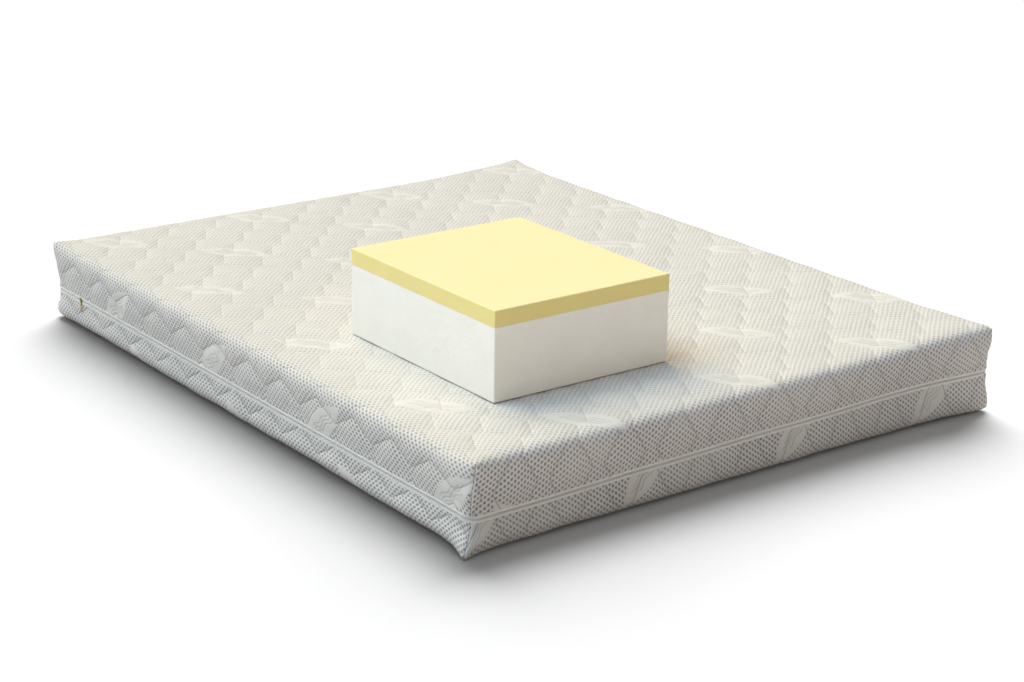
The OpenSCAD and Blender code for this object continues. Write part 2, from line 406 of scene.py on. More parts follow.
class ZipPath:
    """Even steps round the bed at one depth behind its widest point."""

    def __init__(self, depth, spacing):
        w = HALF_W - depth
        l = HALF_L - depth
        r = CORNER_R - depth
        lengths = [2 * (w - r), r * math.pi / 2, 2 * (l - r), r * math.pi / 2] * 2
        centres = [(w - r, -(l - r)), (w - r, l - r), (-(w - r), l - r), (-(w - r), -(l - r))]
        count = 2 * round(sum(lengths) / spacing / 2)
        self.at = np.arange(count) * sum(lengths) / count
        self.length = sum(lengths)
        self.xy = np.zeros((count, 2))
        self.out = np.zeros((count, 2))
        start = 0.0
        for n, length in enumerate(lengths):
            inside = (self.at >= start - 1e-9) & (self.at < start + length - 1e-9)
            t = self.at[inside] - start
            turn = (n // 2 - 1) * math.pi / 2
            angle = turn + (t / r if n % 2 else 0 * t)
            out = np.stack([np.cos(angle), np.sin(angle)], axis=1)
            along = np.array([-math.sin(turn), math.cos(turn)])
            back = 0 * t if n % 2 else t - length
            self.xy[inside] = np.array(centres[n // 2]) + r * out + back[:, None] * along
            self.out[inside] = out
            start += length
        self.xy += corner_pull(self.xy[:, 0], self.xy[:, 1])
        self.z = ZIP_Z + zip_wave(self.xy[:, 0], self.xy[:, 1])

    def ring(self, inward, up):
        """Points of the path moved inward and up, by one number or by one for each."""
        xy = self.xy - self.out * np.broadcast_to(inward, self.at.shape)[:, None]
        return np.column_stack([xy, self.z + up])


def swept(path, section):
    """A closed band with the given outline of (inward, up) points."""
    rings = np.stack([path.ring(inward, up) for inward, up in section], axis=1)
    ids = ringed(np.arange(rings[..., 0].size).reshape(rings.shape[:2]))
    ids = np.concatenate([ids, ids[:1]], axis=0)
    return rings.reshape(-1, 3), grid_faces(ids)[:, ::-1]


# ------------------------------------------------------------ cloth sheets of the cover

Half = namedtuple(
    "Half",
    "body side core panel_z rim_z lining_z step cloth_shift fullest sharp blur relief tip swell "
    "wadding_gap",
)

# side is 1 for the upper half and -1 for the lower one. fullest is how far down its wall,
# as a share, a half keeps its full width. sharp says how far each corner (by the signs of
# x and y) keeps a sharp ear, blur is how far edges are rounded, relief is the depth of the
# quilting, tip is how much rounder a corner is at the panel, and swell how far corners are
# filled. The wadding stops wadding_gap short of the rim, and cloth_shift moves the pattern.
UPPER = Half(
    body="cover_top",
    side=1,
    core="core_memory_foam",
    panel_z=TOP_Z,
    rim_z=UPPER_RIM_Z,
    lining_z=node_box("cover_top_lining")[1][2],
    step=5 * MM,
    cloth_shift=(0, 0),
    fullest=0.48,
    sharp={(-1, -1): 0.9, (-1, 1): 0.85, (1, 1): 0.85, (1, -1): 0.3},
    blur=28 * MM,
    relief=3.7 * MM,
    tip=14 * MM,
    swell=1.0,
    wadding_gap=10 * MM,
)
LOWER = Half(
    body="cover_bottom",
    side=-1,
    core="core_base_foam",
    panel_z=BOTTOM_Z,
    rim_z=LOWER_RIM_Z,
    lining_z=node_box("cover_bottom_lining")[0][2],
    step=7 * MM,
    cloth_shift=(-0.125, 0.150),
    fullest=0.55,
    sharp={(-1, -1): 1.0, (-1, 1): 0.0, (1, 1): 0.5, (1, -1): 0.2},
    blur=22 * MM,
    relief=2.2 * MM,
    tip=2 * MM,
    swell=0.3,
    wadding_gap=8 * MM,
)
WALL_RELIEF = 3.6 * MM
EAR_RANGE = 75 * MM
WALL_CORNER_R = 6 * MM
RIM_CORNER_R = 26 * MM
CORNER_PUSH = {(-1, -1): 6 * MM, (-1, 1): 4 * MM, (1, 1): 6 * MM, (1, -1): 1 * MM}
LEAN = 14 * MM
FOOT_PULL = 12 * MM
RIGHT_RISE = 12 * MM
SEAM_CREASE = 2.6 * MM
SEAM_PUCKER = 0.9 * MM
PUCKER_PITCH = 14 * MM
RIM_GATHER = 0.7 * MM
LIP_ROWS = 3
LIP_R = 1 * MM


class Sheet:
    """A box-like sheet of cloth: a panel and four walls that meet it along its edges, and
    each other along the corner seams. It stops rim_gap short of its half's own rim, and
    its last rows, the lips, lie past that."""

    def __init__(self, half, step, rim_gap=0.0, lips=0):
        self.half = half
        self.side = half.side
        self.step = step
        self.wall = abs(half.panel_z - half.rim_z) - rim_gap
        self.lips = lips
        nx = 2 * round(HALF_W / step)
        ny = 2 * round(HALF_L / step)
        self.nx = nx
        self.ny = ny
        self.rows = round(self.wall / step)
        across, along = np.meshgrid(
            np.linspace(-HALF_W, HALF_W, nx + 1), np.linspace(-HALF_L, HALF_L, ny + 1)
        )
        ids = np.arange(across.size).reshape(ny + 1, nx + 1)
        edge = np.concatenate([ids[0, :-1], ids[:-1, -1], ids[-1, :0:-1], ids[:0:-1, 0]])
        self.around = len(edge)
        total_rows = self.rows + lips
        rings = ids.size + np.arange(total_rows * self.around).reshape(total_rows, -1)
        self.panel_ids = ids
        self.ring_ids = np.concatenate([edge[None], rings])
        self.seam_at = (0, nx, nx + ny, 2 * nx + ny)
        down = self.wall * np.arange(1, self.rows + 1) / self.rows
        past = self.wall + LIP_R * 0.8 * np.arange(1, lips + 1)
        self.down = np.concatenate([np.zeros(ids.size), np.repeat([*down, *past], self.around)])
        self.x = np.concatenate([across.ravel(), np.tile(across.ravel()[edge], total_rows)])
        self.y = np.concatenate([along.ravel(), np.tile(along.ravel()[edge], total_rows)])
        walls = grid_faces(ringed(self.ring_ids))[:, ::-1]
        self.faces = np.concatenate([grid_faces(ids), walls])
        if self.side < 0:
            self.faces = self.faces[:, ::-1]
        self.near = self.neighbours()
        self.level = np.clip(self.down / self.wall, 0, 1)
        self.rim = self.wall - self.down
        self.inset = np.minimum(HALF_W - np.abs(self.x), HALF_L - np.abs(self.y))
        self.to_seam = np.hypot(HALF_W - np.abs(self.x), HALF_L - np.abs(self.y))
        self.u, self.v = self.unfolded()

    def neighbours(self):
        """Numbers of the four vertices round each vertex."""
        near = np.zeros((len(self.x), 4), int)
        pad = np.pad(self.panel_ids, 1, constant_values=-1)
        for n, grid in enumerate((pad[1:-1, :-2], pad[1:-1, 2:], pad[:-2, 1:-1], pad[2:, 1:-1])):
            near[self.panel_ids.ravel(), n] = grid.ravel()
        below = np.full(len(near), -1)
        below[self.ring_ids[0]] = self.ring_ids[1]
        near = np.where(near < 0, below[:, None], near)
        for row in range(1, len(self.ring_ids)):
            ring = self.ring_ids[row]
            near[ring, 0] = np.roll(ring, 1)
            near[ring, 1] = np.roll(ring, -1)
            near[ring, 2] = self.ring_ids[row - 1]
            near[ring, 3] = self.ring_ids[min(row + 1, len(self.ring_ids) - 1)]
        return near

    def unfolded(self):
        """Place of each vertex on the cloth. A corner seam counts with the wall that
        faces along the bed."""
        ends = np.abs(self.y) >= HALF_L - 1e-9
        u = np.where(ends, self.x, self.x + np.sign(self.x) * self.down)
        v = np.where(ends, self.y + np.sign(self.y) * self.down, self.y)
        on_panel = self.down <= 0
        return np.where(on_panel, self.x, u), np.where(on_panel, self.y, v)

    def ear_strength(self):
        """How sharp each corner of the panel is, from 0 to 1, spread over the sheet."""
        strength = np.zeros(len(self.x))
        for (sx, sy), sharp in self.half.sharp.items():
            away = np.hypot(self.x - sx * HALF_W, self.y - sy * HALF_L)
            away = np.hypot(away, self.down)
            strength += sharp * (1 - smoothstep(0, EAR_RANGE, away))
        return strength

    def bulged(self):
        """Places of the vertices on the plain sheet: a box with bulging walls, smoothed
        until its edges are round, except near its ears."""
        half = self.half
        past_fullest = np.clip((self.level - half.fullest) / (1 - half.fullest), 0, 1)
        depth = WAIST * (1 - np.sin(math.pi / 2 * (1 - past_fullest)))
        radius = WALL_CORNER_R + half.tip * (1 - smoothstep(0, 0.35, self.level))
        radius += (RIM_CORNER_R - WALL_CORNER_R) * smoothstep(0.5, 1.0, self.level)
        x, y = rounded_in(depth, radius, self.x, self.y)
        z = half.panel_z - self.side * np.minimum(self.down, self.wall)
        verts = np.column_stack([x, y, z])
        rate = 0.8 * (1 - self.ear_strength())[:, None]
        fixed = self.ring_ids[self.rows :].ravel()
        kept = verts[fixed].copy()
        for _ in range(round(2.5 * (half.blur / self.step) ** 2)):
            verts += (verts[self.near].mean(axis=1) - verts) * rate
            verts[fixed] = kept
        self.fill_corners(verts)
        verts[:, :2] += corner_pull(self.x, self.y)
        self.follow_zip(verts, verts[:, 0], verts[:, 1])
        return verts

    def follow_zip(self, verts, x, y):
        """Moves the walls up and down with the zip, more the nearer they are to it."""
        verts[:, 2] += zip_wave(x, y) * smoothstep(0.2, 1, self.level) ** 2

    def fill_corners(self, verts):
        """Pushes the corners out between their edges. At the left front the upper corner
        leans over along the short side and the lower one is drawn out to a tip. The long
        right side stands a little higher."""
        swell = (0.5 + 0.5 * smoothstep(0, 0.4, self.level)) * (1 - smoothstep(0.5, 1, self.level))
        swell *= self.half.swell
        spread = bump_at(self.to_seam, 70 * MM)
        for (sx, sy), push in CORNER_PUSH.items():
            here = spread * (self.x * sx > 0) * (self.y * sy > 0)
            verts[:, 0] += sx * push * here * swell / math.sqrt(2)
            verts[:, 1] += sy * push * here * swell / math.sqrt(2)
        here = bump_at(self.to_seam, 55 * MM) * (self.x < 0) * (self.y < 0)
        if self.side > 0:
            verts[:, 0] += LEAN * here * (1 - smoothstep(0, 0.9, self.level))
            verts[:, 2] += RIGHT_RISE * smoothstep(0.4, 0.8, self.x) * (1 - self.level)
        else:
            verts[:, 0] -= FOOT_PULL * here * (1 - smoothstep(0.1, 0.9, self.level))

    def rolled_lip(self, verts):
        """Turns the rows past the rim in to the zip tape."""
        rim = self.ring_ids[self.rows]
        out = rim_direction(verts[rim])
        for n in range(1, self.lips + 1):
            angle = math.pi / 2 * n / self.lips
            moved = verts[rim].copy()
            inward = LIP_R * (1 - math.cos(angle)) + (0.8 * MM if n == self.lips else 0)
            moved[:, :2] -= out * inward
            moved[:, 2] -= self.side * LIP_R * math.sin(angle)
            verts[self.ring_ids[self.rows + n]] = moved
        return verts

    def creased(self, plain, pressed=None):
        """Presses the plain sheet in at its quilting, its seams and its rim. pressed says
        where something flattens the quilting."""
        on_wall = smoothstep(0, 60 * MM, self.down)
        height = puff(self.u, self.v)
        tired = 1 + 0.2 * noise(self.u, self.v, 0.31, 11)
        amount = self.half.relief * (1 - on_wall) + WALL_RELIEF * on_wall
        amount *= 0.3 + 0.7 * smoothstep(0, 70 * MM, self.inset + self.down)
        deep = 0.4 * MM + amount * tired * (1.15 - np.clip(height, 0, 1.15))
        if pressed is not None:
            deep *= 1 - 0.6 * pressed(self.x, self.y) * (self.down <= 0)
        deep *= 0.15 + 0.85 * smoothstep(0, 22 * MM, self.rim)
        deep += self.seam_pucker() * (self.down > 0)
        gather = 0.5 * (1 + noise(self.u, self.v, 6 * MM, 9))
        deep += RIM_GATHER * gather * on_wall * np.exp(-np.maximum(self.rim, 0) / (14 * MM))
        slack = np.abs(noise(self.u + 0.3 * self.v, self.v - 0.2 * self.u, 0.06, 21))
        deep += (0.4 + 1.0 * on_wall) * MM * slack * smoothstep(0, 25 * MM, self.rim)
        deep = np.where(self.rim < 0.1 * MM, 0, deep)
        return plain - normals_of(plain, self.faces) * deep[:, None]

    def seam_pucker(self):
        """Depth of the crease at the corner seams, with small puckers beside it."""
        crease = SEAM_CREASE * bump_at(self.to_seam, 5 * MM) * smoothstep(0.02, 0.2, self.level)
        stray = 2 * noise(self.x, self.y, 50 * MM, 3)
        steps = np.cos(2 * math.pi * self.down / PUCKER_PITCH + stray)
        pucker = SEAM_PUCKER / 2 * (1 - steps) * np.exp(-self.to_seam / (14 * MM))
        return crease + pucker * smoothstep(0, 0.1, self.level)

    def lengths(self, verts):
        """Lengths along the cloth itself: across and along the panel and down the walls,
        where the knit is gathered a little."""
        grid = verts[self.panel_ids]
        across = np.linalg.norm(np.diff(grid, axis=1), axis=2)
        along = np.linalg.norm(np.diff(grid, axis=0), axis=2)
        across = np.pad(np.cumsum(across, axis=1), ((0, 0), (1, 0)))
        along = np.pad(np.cumsum(along, axis=0), ((1, 0), (0, 0)))
        across -= across[:, self.nx // 2][:, None]
        along -= along[self.ny // 2][None]
        down = KNIT_EASE * np.linalg.norm(np.diff(verts[self.ring_ids], axis=0), axis=2)
        return across, along, np.pad(np.cumsum(down, axis=0), ((1, 0), (0, 0)))

    def nominal(self):
        """The same lengths for the cloth before it was quilted."""
        across = self.x[self.panel_ids]
        along = self.y[self.panel_ids]
        return across, along, self.down[self.ring_ids]

    def corner_uv(self, lengths, shift=(0, 0)):
        """Cloth coordinates of each face corner. They run on over the panel's edges."""
        across, along, down = lengths
        edge = self.ring_ids[0]
        starts = np.column_stack([across.ravel()[edge], along.ravel()[edge]])
        rows = len(self.ring_ids) - 1
        cell = np.arange(self.around)
        wall_of = np.digitize(cell, self.seam_at[1:])
        ways = np.array([(0, -1), (1, 0), (0, 1), (-1, 0)])[wall_of]
        walls = np.zeros((rows, self.around, 4, 2))
        for corner, (one_down, one_on) in enumerate(((0, 0), (0, 1), (1, 1), (1, 0))):
            at = (cell + one_on) % self.around
            reach = down[one_down : one_down + rows][:, at]
            walls[:, :, corner] = starts[at] + ways * reach[:, :, None]
        walls = walls.reshape(-1, 4, 2)[:, ::-1]
        panel = grid_faces(self.panel_ids)
        flat = np.stack([across.ravel()[panel], along.ravel()[panel]], axis=-1)
        uv = np.concatenate([flat, walls])
        if self.side < 0:
            uv = uv[:, ::-1]
        return uv + np.array(shift)

    def place(self, verts, u, v):
        """Positions on the sheet of places on the cloth."""
        ux = np.clip(u, -HALF_W, HALF_W)
        vy = np.clip(v, -HALF_L, HALF_L)
        down = np.maximum(np.abs(u) - HALF_W, np.abs(v) - HALF_L)
        col = (ux + HALF_W) / (2 * HALF_W) * self.nx
        row = (vy + HALF_L) / (2 * HALF_L) * self.ny
        flat = blended(verts[self.panel_ids], row, col)
        perimeter = np.select(
            [v <= -HALF_L, u >= HALF_W, v >= HALF_L],
            [col, self.nx + row, self.nx + self.ny + self.nx - col],
            2 * self.nx + 2 * self.ny - row,
        )
        rings = verts[ringed(self.ring_ids)]
        wall = blended(rings, np.clip(down, 0, self.wall) / self.wall * self.rows, perimeter)
        return np.where((down > 0)[:, None], wall, flat)


def rim_direction(verts):
    """Direction outward from the bed at points on the rim."""
    r = CORNER_R - WAIST
    cx = np.clip(verts[:, 0], -(HALF_W - CORNER_R), HALF_W - CORNER_R)
    cy = np.clip(verts[:, 1], -(HALF_L - CORNER_R), HALF_L - CORNER_R)
    out = verts[:, :2] - np.column_stack([cx, cy])
    return out / np.maximum(np.linalg.norm(out, axis=1, keepdims=True), 0.1 * r)


def blended(grid, row, col):
    """Values of a grid between its points."""
    i = np.clip(np.floor(row).astype(int), 0, grid.shape[0] - 2)
    j = np.clip(np.floor(col).astype(int), 0, grid.shape[1] - 2)
    s = (row - i)[:, None]
    t = (col - j)[:, None]
    low = grid[i, j] * (1 - t) + grid[i, j + 1] * t
    high = grid[i + 1, j] * (1 - t) + grid[i + 1, j + 1] * t
    return low * (1 - s) + high * s


# ------------------------------------------------------------ materials


class Value:
    """A number that a material's nodes work out, so that sums can be written as sums."""

    def __init__(self, surface, socket):
        self.surface = surface
        self.socket = socket

    def of(self, operation, other=0.0):
        return self.surface.math(operation, self, other)

    def __add__(self, other):
        return self.of("ADD", other)

    def __sub__(self, other):
        return self.of("SUBTRACT", other)

    def __rsub__(self, other):
        return self.surface.math("SUBTRACT", other, self)

    def __mul__(self, other):
        return self.of("MULTIPLY", other)

    def __truediv__(self, other):
        return self.of("DIVIDE", other)

    def __pow__(self, other):
        return self.of("POWER", other)

    def __abs__(self):
        return self.of("ABSOLUTE")


class Surface:
    """A node material under construction."""

    def __init__(self, name, color, roughness):
        self.material = bpy.data.materials.new(name)
        self.material.use_nodes = True
        self.tree = self.material.node_tree
        self.bsdf = self.tree.nodes["Principled BSDF"]
        self.bsdf.inputs["Base Color"].default_value = (*color, 1)
        self.bsdf.inputs["Roughness"].default_value = roughness

    def node(self, kind, **values):
        made = self.tree.nodes.new(kind)
        for name, value in values.items():
            setattr(made, name, value)
        return made

    def set(self, socket, value):
        """Links an output to a socket, or sets a plain number or colour on it."""
        if isinstance(value, Value):
            value = value.socket
        if isinstance(value, bpy.types.NodeSocket):
            self.tree.links.new(value, socket)
        elif isinstance(value, tuple) and len(value) == 3 and socket.type == "RGBA":
            socket.default_value = (*value, 1)
        else:
            socket.default_value = value

    def math(self, operation, a, b=0.0):
        made = self.node("ShaderNodeMath", operation=operation)
        self.set(made.inputs[0], a)
        self.set(made.inputs[1], b)
        return Value(self, made.outputs[0])

    def soft(self, value, low, high, out_low=0.0, out_high=1.0):
        """A smooth step from out_low at low to out_high at high."""
        made = self.node("ShaderNodeMapRange", interpolation_type="SMOOTHSTEP")
        ends = {"From Min": low, "From Max": high, "To Min": out_low, "To Max": out_high}
        for name, number in ends.items():
            made.inputs[name].default_value = number
        self.set(made.inputs["Value"], value)
        return Value(self, made.outputs["Result"])

    def mix(self, factor, a, b):
        made = self.node("ShaderNodeMix", data_type="RGBA")
        self.set(made.inputs["Factor"], factor)
        self.set(made.inputs[6], a)
        self.set(made.inputs[7], b)
        return made.outputs[2]

    def place(self):
        return self.node("ShaderNodeTexCoord").outputs["Object"]

    def split(self, vector):
        """The three parts of a vector."""
        made = self.node("ShaderNodeSeparateXYZ")
        self.set(made.inputs[0], vector)
        return [Value(self, part) for part in made.outputs]

    def cloth(self, uv_map="cloth"):
        """The two cloth coordinates, in metres, and both as one vector."""
        uv = self.node("ShaderNodeUVMap", uv_map=uv_map).outputs[0]
        return (*self.split(uv)[:2], uv)

    def noise(self, where, size, detail=2.0, roughness=0.5):
        made = self.node("ShaderNodeTexNoise")
        self.set(made.inputs["Vector"], where)
        made.inputs["Scale"].default_value = 1 / size
        made.inputs["Detail"].default_value = detail
        made.inputs["Roughness"].default_value = roughness
        return Value(self, made.outputs["Fac"])

    def cells(self, where, size):
        made = self.node("ShaderNodeTexVoronoi", feature="F1")
        self.set(made.inputs["Vector"], where)
        made.inputs["Scale"].default_value = 1 / size
        return Value(self, made.outputs["Distance"])

    def wave(self, value, pitch):
        """A sine wave from 0 to 1 along a length."""
        return (value * (2 * math.pi / pitch)).of("SINE") * 0.5 + 0.5

    def bump(self, height, depth):
        """Adds relief: height runs from 0 to 1 and depth is in metres."""
        made = self.node("ShaderNodeBump")
        made.inputs["Distance"].default_value = depth
        before = self.bsdf.inputs["Normal"].links
        if before:
            self.set(made.inputs["Normal"], before[0].from_socket)
        self.set(made.inputs["Height"], height)
        self.set(self.bsdf.inputs["Normal"], made.outputs[0])

    def paint(self, color):
        self.set(self.bsdf.inputs["Base Color"], color)

    def rough(self, value):
        self.set(self.bsdf.inputs["Roughness"], value)

    def sheen(self, weight):
        self.bsdf.inputs["Sheen Weight"].default_value = weight
        self.bsdf.inputs["Sheen Roughness"].default_value = 0.6


def shade(color, factor):
    return tuple(c * factor for c in color)


def from_nearest(value, cell, shift=0.0):
    """Signed distance to the nearest of a row of points a cell apart."""
    return ((value / cell + (shift + 100)).of("FRACT") - 0.5) * cell


def length_of(a, b):
    return (a**2.0 + b**2.0).of("SQRT")


def hole_distance(u, v):
    """Distance to the nearest mesh hole, as a share of the hole's own size. The holes
    lean, stand in rows, and each row is shifted by half a step from the next."""
    far = []
    for shift in (0.0, 0.5):
        dv = from_nearest(v, HOLE_CELL[1], shift)
        du = from_nearest(u, HOLE_CELL[0], shift) - dv * HOLE_SLANT
        far.append(length_of(du / HOLE_HALF[0], dv / HOLE_HALF[1]))
    return far[0].of("MINIMUM", far[1])


def oval_frame(u, v, shift):
    """Place along and across the nearest plain oval of one of its two sets."""
    du = from_nearest(u - OVAL_START[0], OVAL_CELL[0], shift)
    dv = from_nearest(v - OVAL_START[1], OVAL_CELL[1], shift)
    c = math.cos(OVAL_TURN)
    d = math.sin(OVAL_TURN)
    return du * c + dv * d, dv * c - du * d


def oval_inset(along, across):
    """Distance in from the edge of a lens-shaped oval."""
    return (1.0 - (along / OVAL_HALF[0]) ** 2.0) * OVAL_HALF[1] - abs(across)


def wave_motif(s, along, across):
    """Three short waves, one above the other, in the middle of an oval."""
    swing = (along * (2 * math.pi / WAVE_PERIOD)).of("SINE") * WAVE_SWING
    lines = []
    for row in (-1, 0, 1):
        reach = (62 - 16 * abs(row)) * MM
        line = s.soft(abs(across - (swing + row * WAVE_SPACING)), 3.0 * MM, 1.5 * MM)
        lines.append(line * s.soft(abs(along), reach, reach - 4 * MM))
    return lines[0].of("MAXIMUM", lines[1]).of("MAXIMUM", lines[2])


def stitch_distance(s):
    """Distance to the nearest quilting thread. The threads lie between the lines k and
    k + 1 of the zigzag, and swing to opposite sides."""
    u, v, _ = s.cloth("stitching")
    lines = (u - THREAD_X) / THREAD_PITCH
    number = lines.of("FLOOR")
    place = (lines - number) * THREAD_PITCH
    phase = abs(((v - ZIGZAG_Y) / (2 * ZIGZAG_STEP)).of("FRACT") - 0.5)
    swing = (1.0 - phase * 4.0) * ZIGZAG_SWING * (number * math.pi).of("COSINE")
    before = abs(place - swing)
    after = abs(place + swing - THREAD_PITCH)
    return before.of("MINIMUM", after) * THREAD_SLOPE


def ovals(s, u, v):
    """Where the plain ovals lie, and the wave motif on them."""
    patches = []
    motifs = []
    for shift in (0.5, 0.0):
        along, across = oval_frame(u, v, shift)
        inset = s.soft(oval_inset(along, across), -0.5 * MM, 2.5 * MM)
        patches.append(inset)
        motifs.append(wave_motif(s, along, across) * inset)
    return patches[0].of("MAXIMUM", patches[1]), motifs[0].of("MAXIMUM", motifs[1])


def knit_material():
    """Double knit with rows of small mesh holes and plain lens-shaped ovals. Along the quilting
    threads it has painted shade in the creases on the walls. On the top it has a pale line that is
    partly the thread's colour and partly a painted highlight.
    """
    cream = (0.69, 0.648, 0.585)
    shadow_in_holes = (0.155, 0.14, 0.17)
    s = Surface("knit", cream, 0.92)
    s.sheen(0.12)
    u, v, uv = s.cloth()
    stray = s.noise(uv, 35 * MM, 1.0) - 0.5
    u = u + stray * (1.4 * MM)
    v = v - stray * (1.2 * MM)
    patch, motif = ovals(s, u, v)
    holes = s.soft(hole_distance(u, v), 1.3, 0.5) * (1.0 - patch)
    wall = Value(s, s.node("ShaderNodeAttribute", attribute_name="wall").outputs["Fac"])
    uneven = s.soft(s.noise(uv, 160 * MM, 2.0), 0.3, 0.7, 0.8, 1.0)
    dark = holes * (wall * 0.44 + 0.38) * uneven
    broad = s.soft(s.noise(uv, 240 * MM, 3.0), 0.25, 0.75)
    cloth = s.mix(broad, shade(cream, 0.97), shade(cream, 1.03))
    fibre = s.noise(uv, 0.9 * MM, 2.0)
    cloth = s.mix(fibre * 0.10, cloth, shade(cream, 0.62))
    cloth = s.mix(motif * 0.3, cloth, (0.28, 0.27, 0.28))
    cloth = s.mix(dark, cloth, shadow_in_holes)
    seam = stitch_distance(s)
    line = s.soft(seam, 2.2 * MM, 0.7 * MM)
    # Painted shade in the quilting creases on the walls. On the top, a pale line that is partly the
    # thread's colour and partly a painted highlight.
    cloth = s.mix(line * wall * 0.6, cloth, shade(cream, 0.36))
    s.paint(s.mix(line * (1.0 - wall) * 0.45, cloth, shade(cream, 1.15)))
    ribs = s.wave(u + v * 0.9, 2.4 * MM)
    s.bump(ribs * 0.5 + fibre * 0.5, 0.25 * MM)
    s.bump(1.0 - holes, 0.7 * MM)
    s.bump(patch * 0.6 - motif, 0.5 * MM)
    s.bump(s.soft(seam, 0.0, 6 * MM), 1.0 * MM)
    s.rough(s.soft(fibre, 0.2, 0.8, 0.82, 0.97))
    return s.material


def wadding_material():
    """Loose white polyester fibre."""
    white = (0.86, 0.86, 0.84)
    s = Surface("wadding", white, 0.95)
    s.sheen(0.3)
    at = s.place()
    clumps = s.noise(at, 22 * MM, 3.0)
    hair = s.noise(at, 1.2 * MM, 3.0, 0.7)
    # Painted shade: the fibre is darker between the clumps, where the bump sinks it.
    s.paint(s.mix(clumps, shade(white, 0.9), shade(white, 1.03)))
    s.bump(clumps, 1.2 * MM)
    s.bump(hair, 0.4 * MM)
    return s.material


def lining_material():
    """Thin, pressed non-woven sheet with a grid of small bonding points."""
    grey = (0.70, 0.715, 0.735)
    s = Surface("lining", grey, 0.8)
    s.sheen(0.1)
    u, v, uv = s.cloth()
    to_point = length_of(from_nearest(u, 2.6 * MM), from_nearest(v, 2.6 * MM))
    points = s.soft(to_point, 0.7 * MM, 0.4 * MM)
    fibre = s.noise(uv, 1.6 * MM, 4.0, 0.7)
    cloudy = s.noise(uv, 45 * MM, 3.0)
    base = s.mix(cloudy, shade(grey, 0.93), shade(grey, 1.05))
    base = s.mix(fibre * 0.25, base, shade(grey, 0.75))
    s.paint(s.mix(points * 0.3, base, shade(grey, 0.6)))
    s.bump(fibre, 0.25 * MM)
    s.bump(1.0 - points, 0.15 * MM)
    return s.material


def thread_material(name, color):
    """Twisted polyester sewing thread."""
    s = Surface(name, color, 0.55)
    s.sheen(0.2)
    at = s.place()
    ply = s.node("ShaderNodeTexWave", wave_type="BANDS", bands_direction="DIAGONAL")
    s.set(ply.inputs["Vector"], at)
    ply.inputs["Scale"].default_value = 500
    ply.inputs["Distortion"].default_value = 2
    fuzz = s.noise(at, 0.8 * MM, 2.0)
    # Painted shade: the grooves between the plies are darker, where the bump sinks them.
    s.paint(s.mix(ply.outputs["Fac"], shade(color, 0.72), color))
    s.rough(s.soft(fuzz, 0.3, 0.7, 0.45, 0.75))
    s.bump(ply.outputs["Fac"], 0.15 * MM)
    return s.material


def tape_material():
    """Woven zip tape: a fine herringbone with a denser woven edge cord."""
    cream = (0.88, 0.85, 0.77)
    s = Surface("zip_tape", cream, 0.75)
    s.sheen(0.15)
    along, across, uv = s.cloth()
    rib = s.wave(across, 1.5 * MM)
    weft = s.wave(along + abs(from_nearest(across, 3.0 * MM)) * 1.2, 0.9 * MM)
    weave = rib * 0.5 + weft * 0.5
    soil = s.noise(uv, 60 * MM, 3.0)
    base = s.mix(soil * 0.5, shade(cream, 1.03), shade(cream, 0.9))
    s.paint(s.mix(weave * 0.3, base, shade(cream, 0.6)))
    s.bump(weave, 0.3 * MM)
    s.rough(s.soft(weave, 0.2, 0.8, 0.65, 0.85))
    return s.material


def coil_material():
    """Milky moulded monofilament."""
    milk = (0.86, 0.84, 0.78)
    s = Surface("zip_coil", milk, 0.35)
    at = s.place()
    streak = s.noise(at, 4 * MM, 2.0)
    s.paint(s.mix(streak, shade(milk, 0.93), shade(milk, 1.04)))
    s.rough(s.soft(streak, 0.3, 0.7, 0.28, 0.45))
    s.bump(s.noise(at, 0.6 * MM, 2.0), 0.05 * MM)
    return s.material


def metal_material(name, bright, dark, roughness):
    """Plated metal with fine tumbling marks and duller, darker low spots."""
    s = Surface(name, bright, roughness)
    s.bsdf.inputs["Metallic"].default_value = 1.0
    at = s.place()
    worn = s.soft(s.noise(at, 2.2 * MM, 4.0, 0.7), 0.35, 0.65)
    s.paint(s.mix(worn, dark, bright))
    s.rough(s.soft(worn, 0.0, 1.0, roughness + 0.2, roughness))
    s.bump(s.noise(at, 0.25 * MM, 3.0), 0.03 * MM)
    return s.material


def foam_material(name, light, sides, deep, pore):
    """Open-cell foam: a skin of tiny pores with a few larger bubbles and knife marks. The upright
    sides may be given a deeper colour than the top as painted shade. The pores and bubbles are
    darkened with painted shade."""
    s = Surface(name, light, 0.9)
    s.sheen(0.15)
    at = s.place()
    facing = s.split(s.node("ShaderNodeTexCoord").outputs["Normal"])
    level = s.soft(abs(facing[2]), 0.4, 0.8)
    pores = s.soft(s.cells(at, pore), 0.08, 0.42)
    bubbles = s.soft(s.cells(at, pore * 6), 0.05, 0.16)
    cloudy = s.soft(s.noise(at, 90 * MM, 3.0), 0.3, 0.7)
    grain = s.noise(at, pore * 0.7, 2.0)
    # Painted shade: faces that stand upright get the sides colour, which is deeper than the top's.
    base = s.mix(level, sides, light)
    # Painted shade in the pores and bubbles, darker where the bump sinks them. The cloudy part is
    # uneven tone.
    for amount in (cloudy * 0.08, (1.0 - pores) * 0.4, (1.0 - bubbles) * 0.45):
        base = s.mix(amount, base, deep)
    s.paint(s.mix(grain * 0.12, base, deep))
    s.bump(pores, 0.45 * MM)
    s.bump(bubbles, 0.6 * MM)
    s.bump(s.noise(at, 35 * MM, 2.0), 0.9 * MM)
    s.rough(s.soft(grain, 0.2, 0.8, 0.84, 0.96))
    return s.material


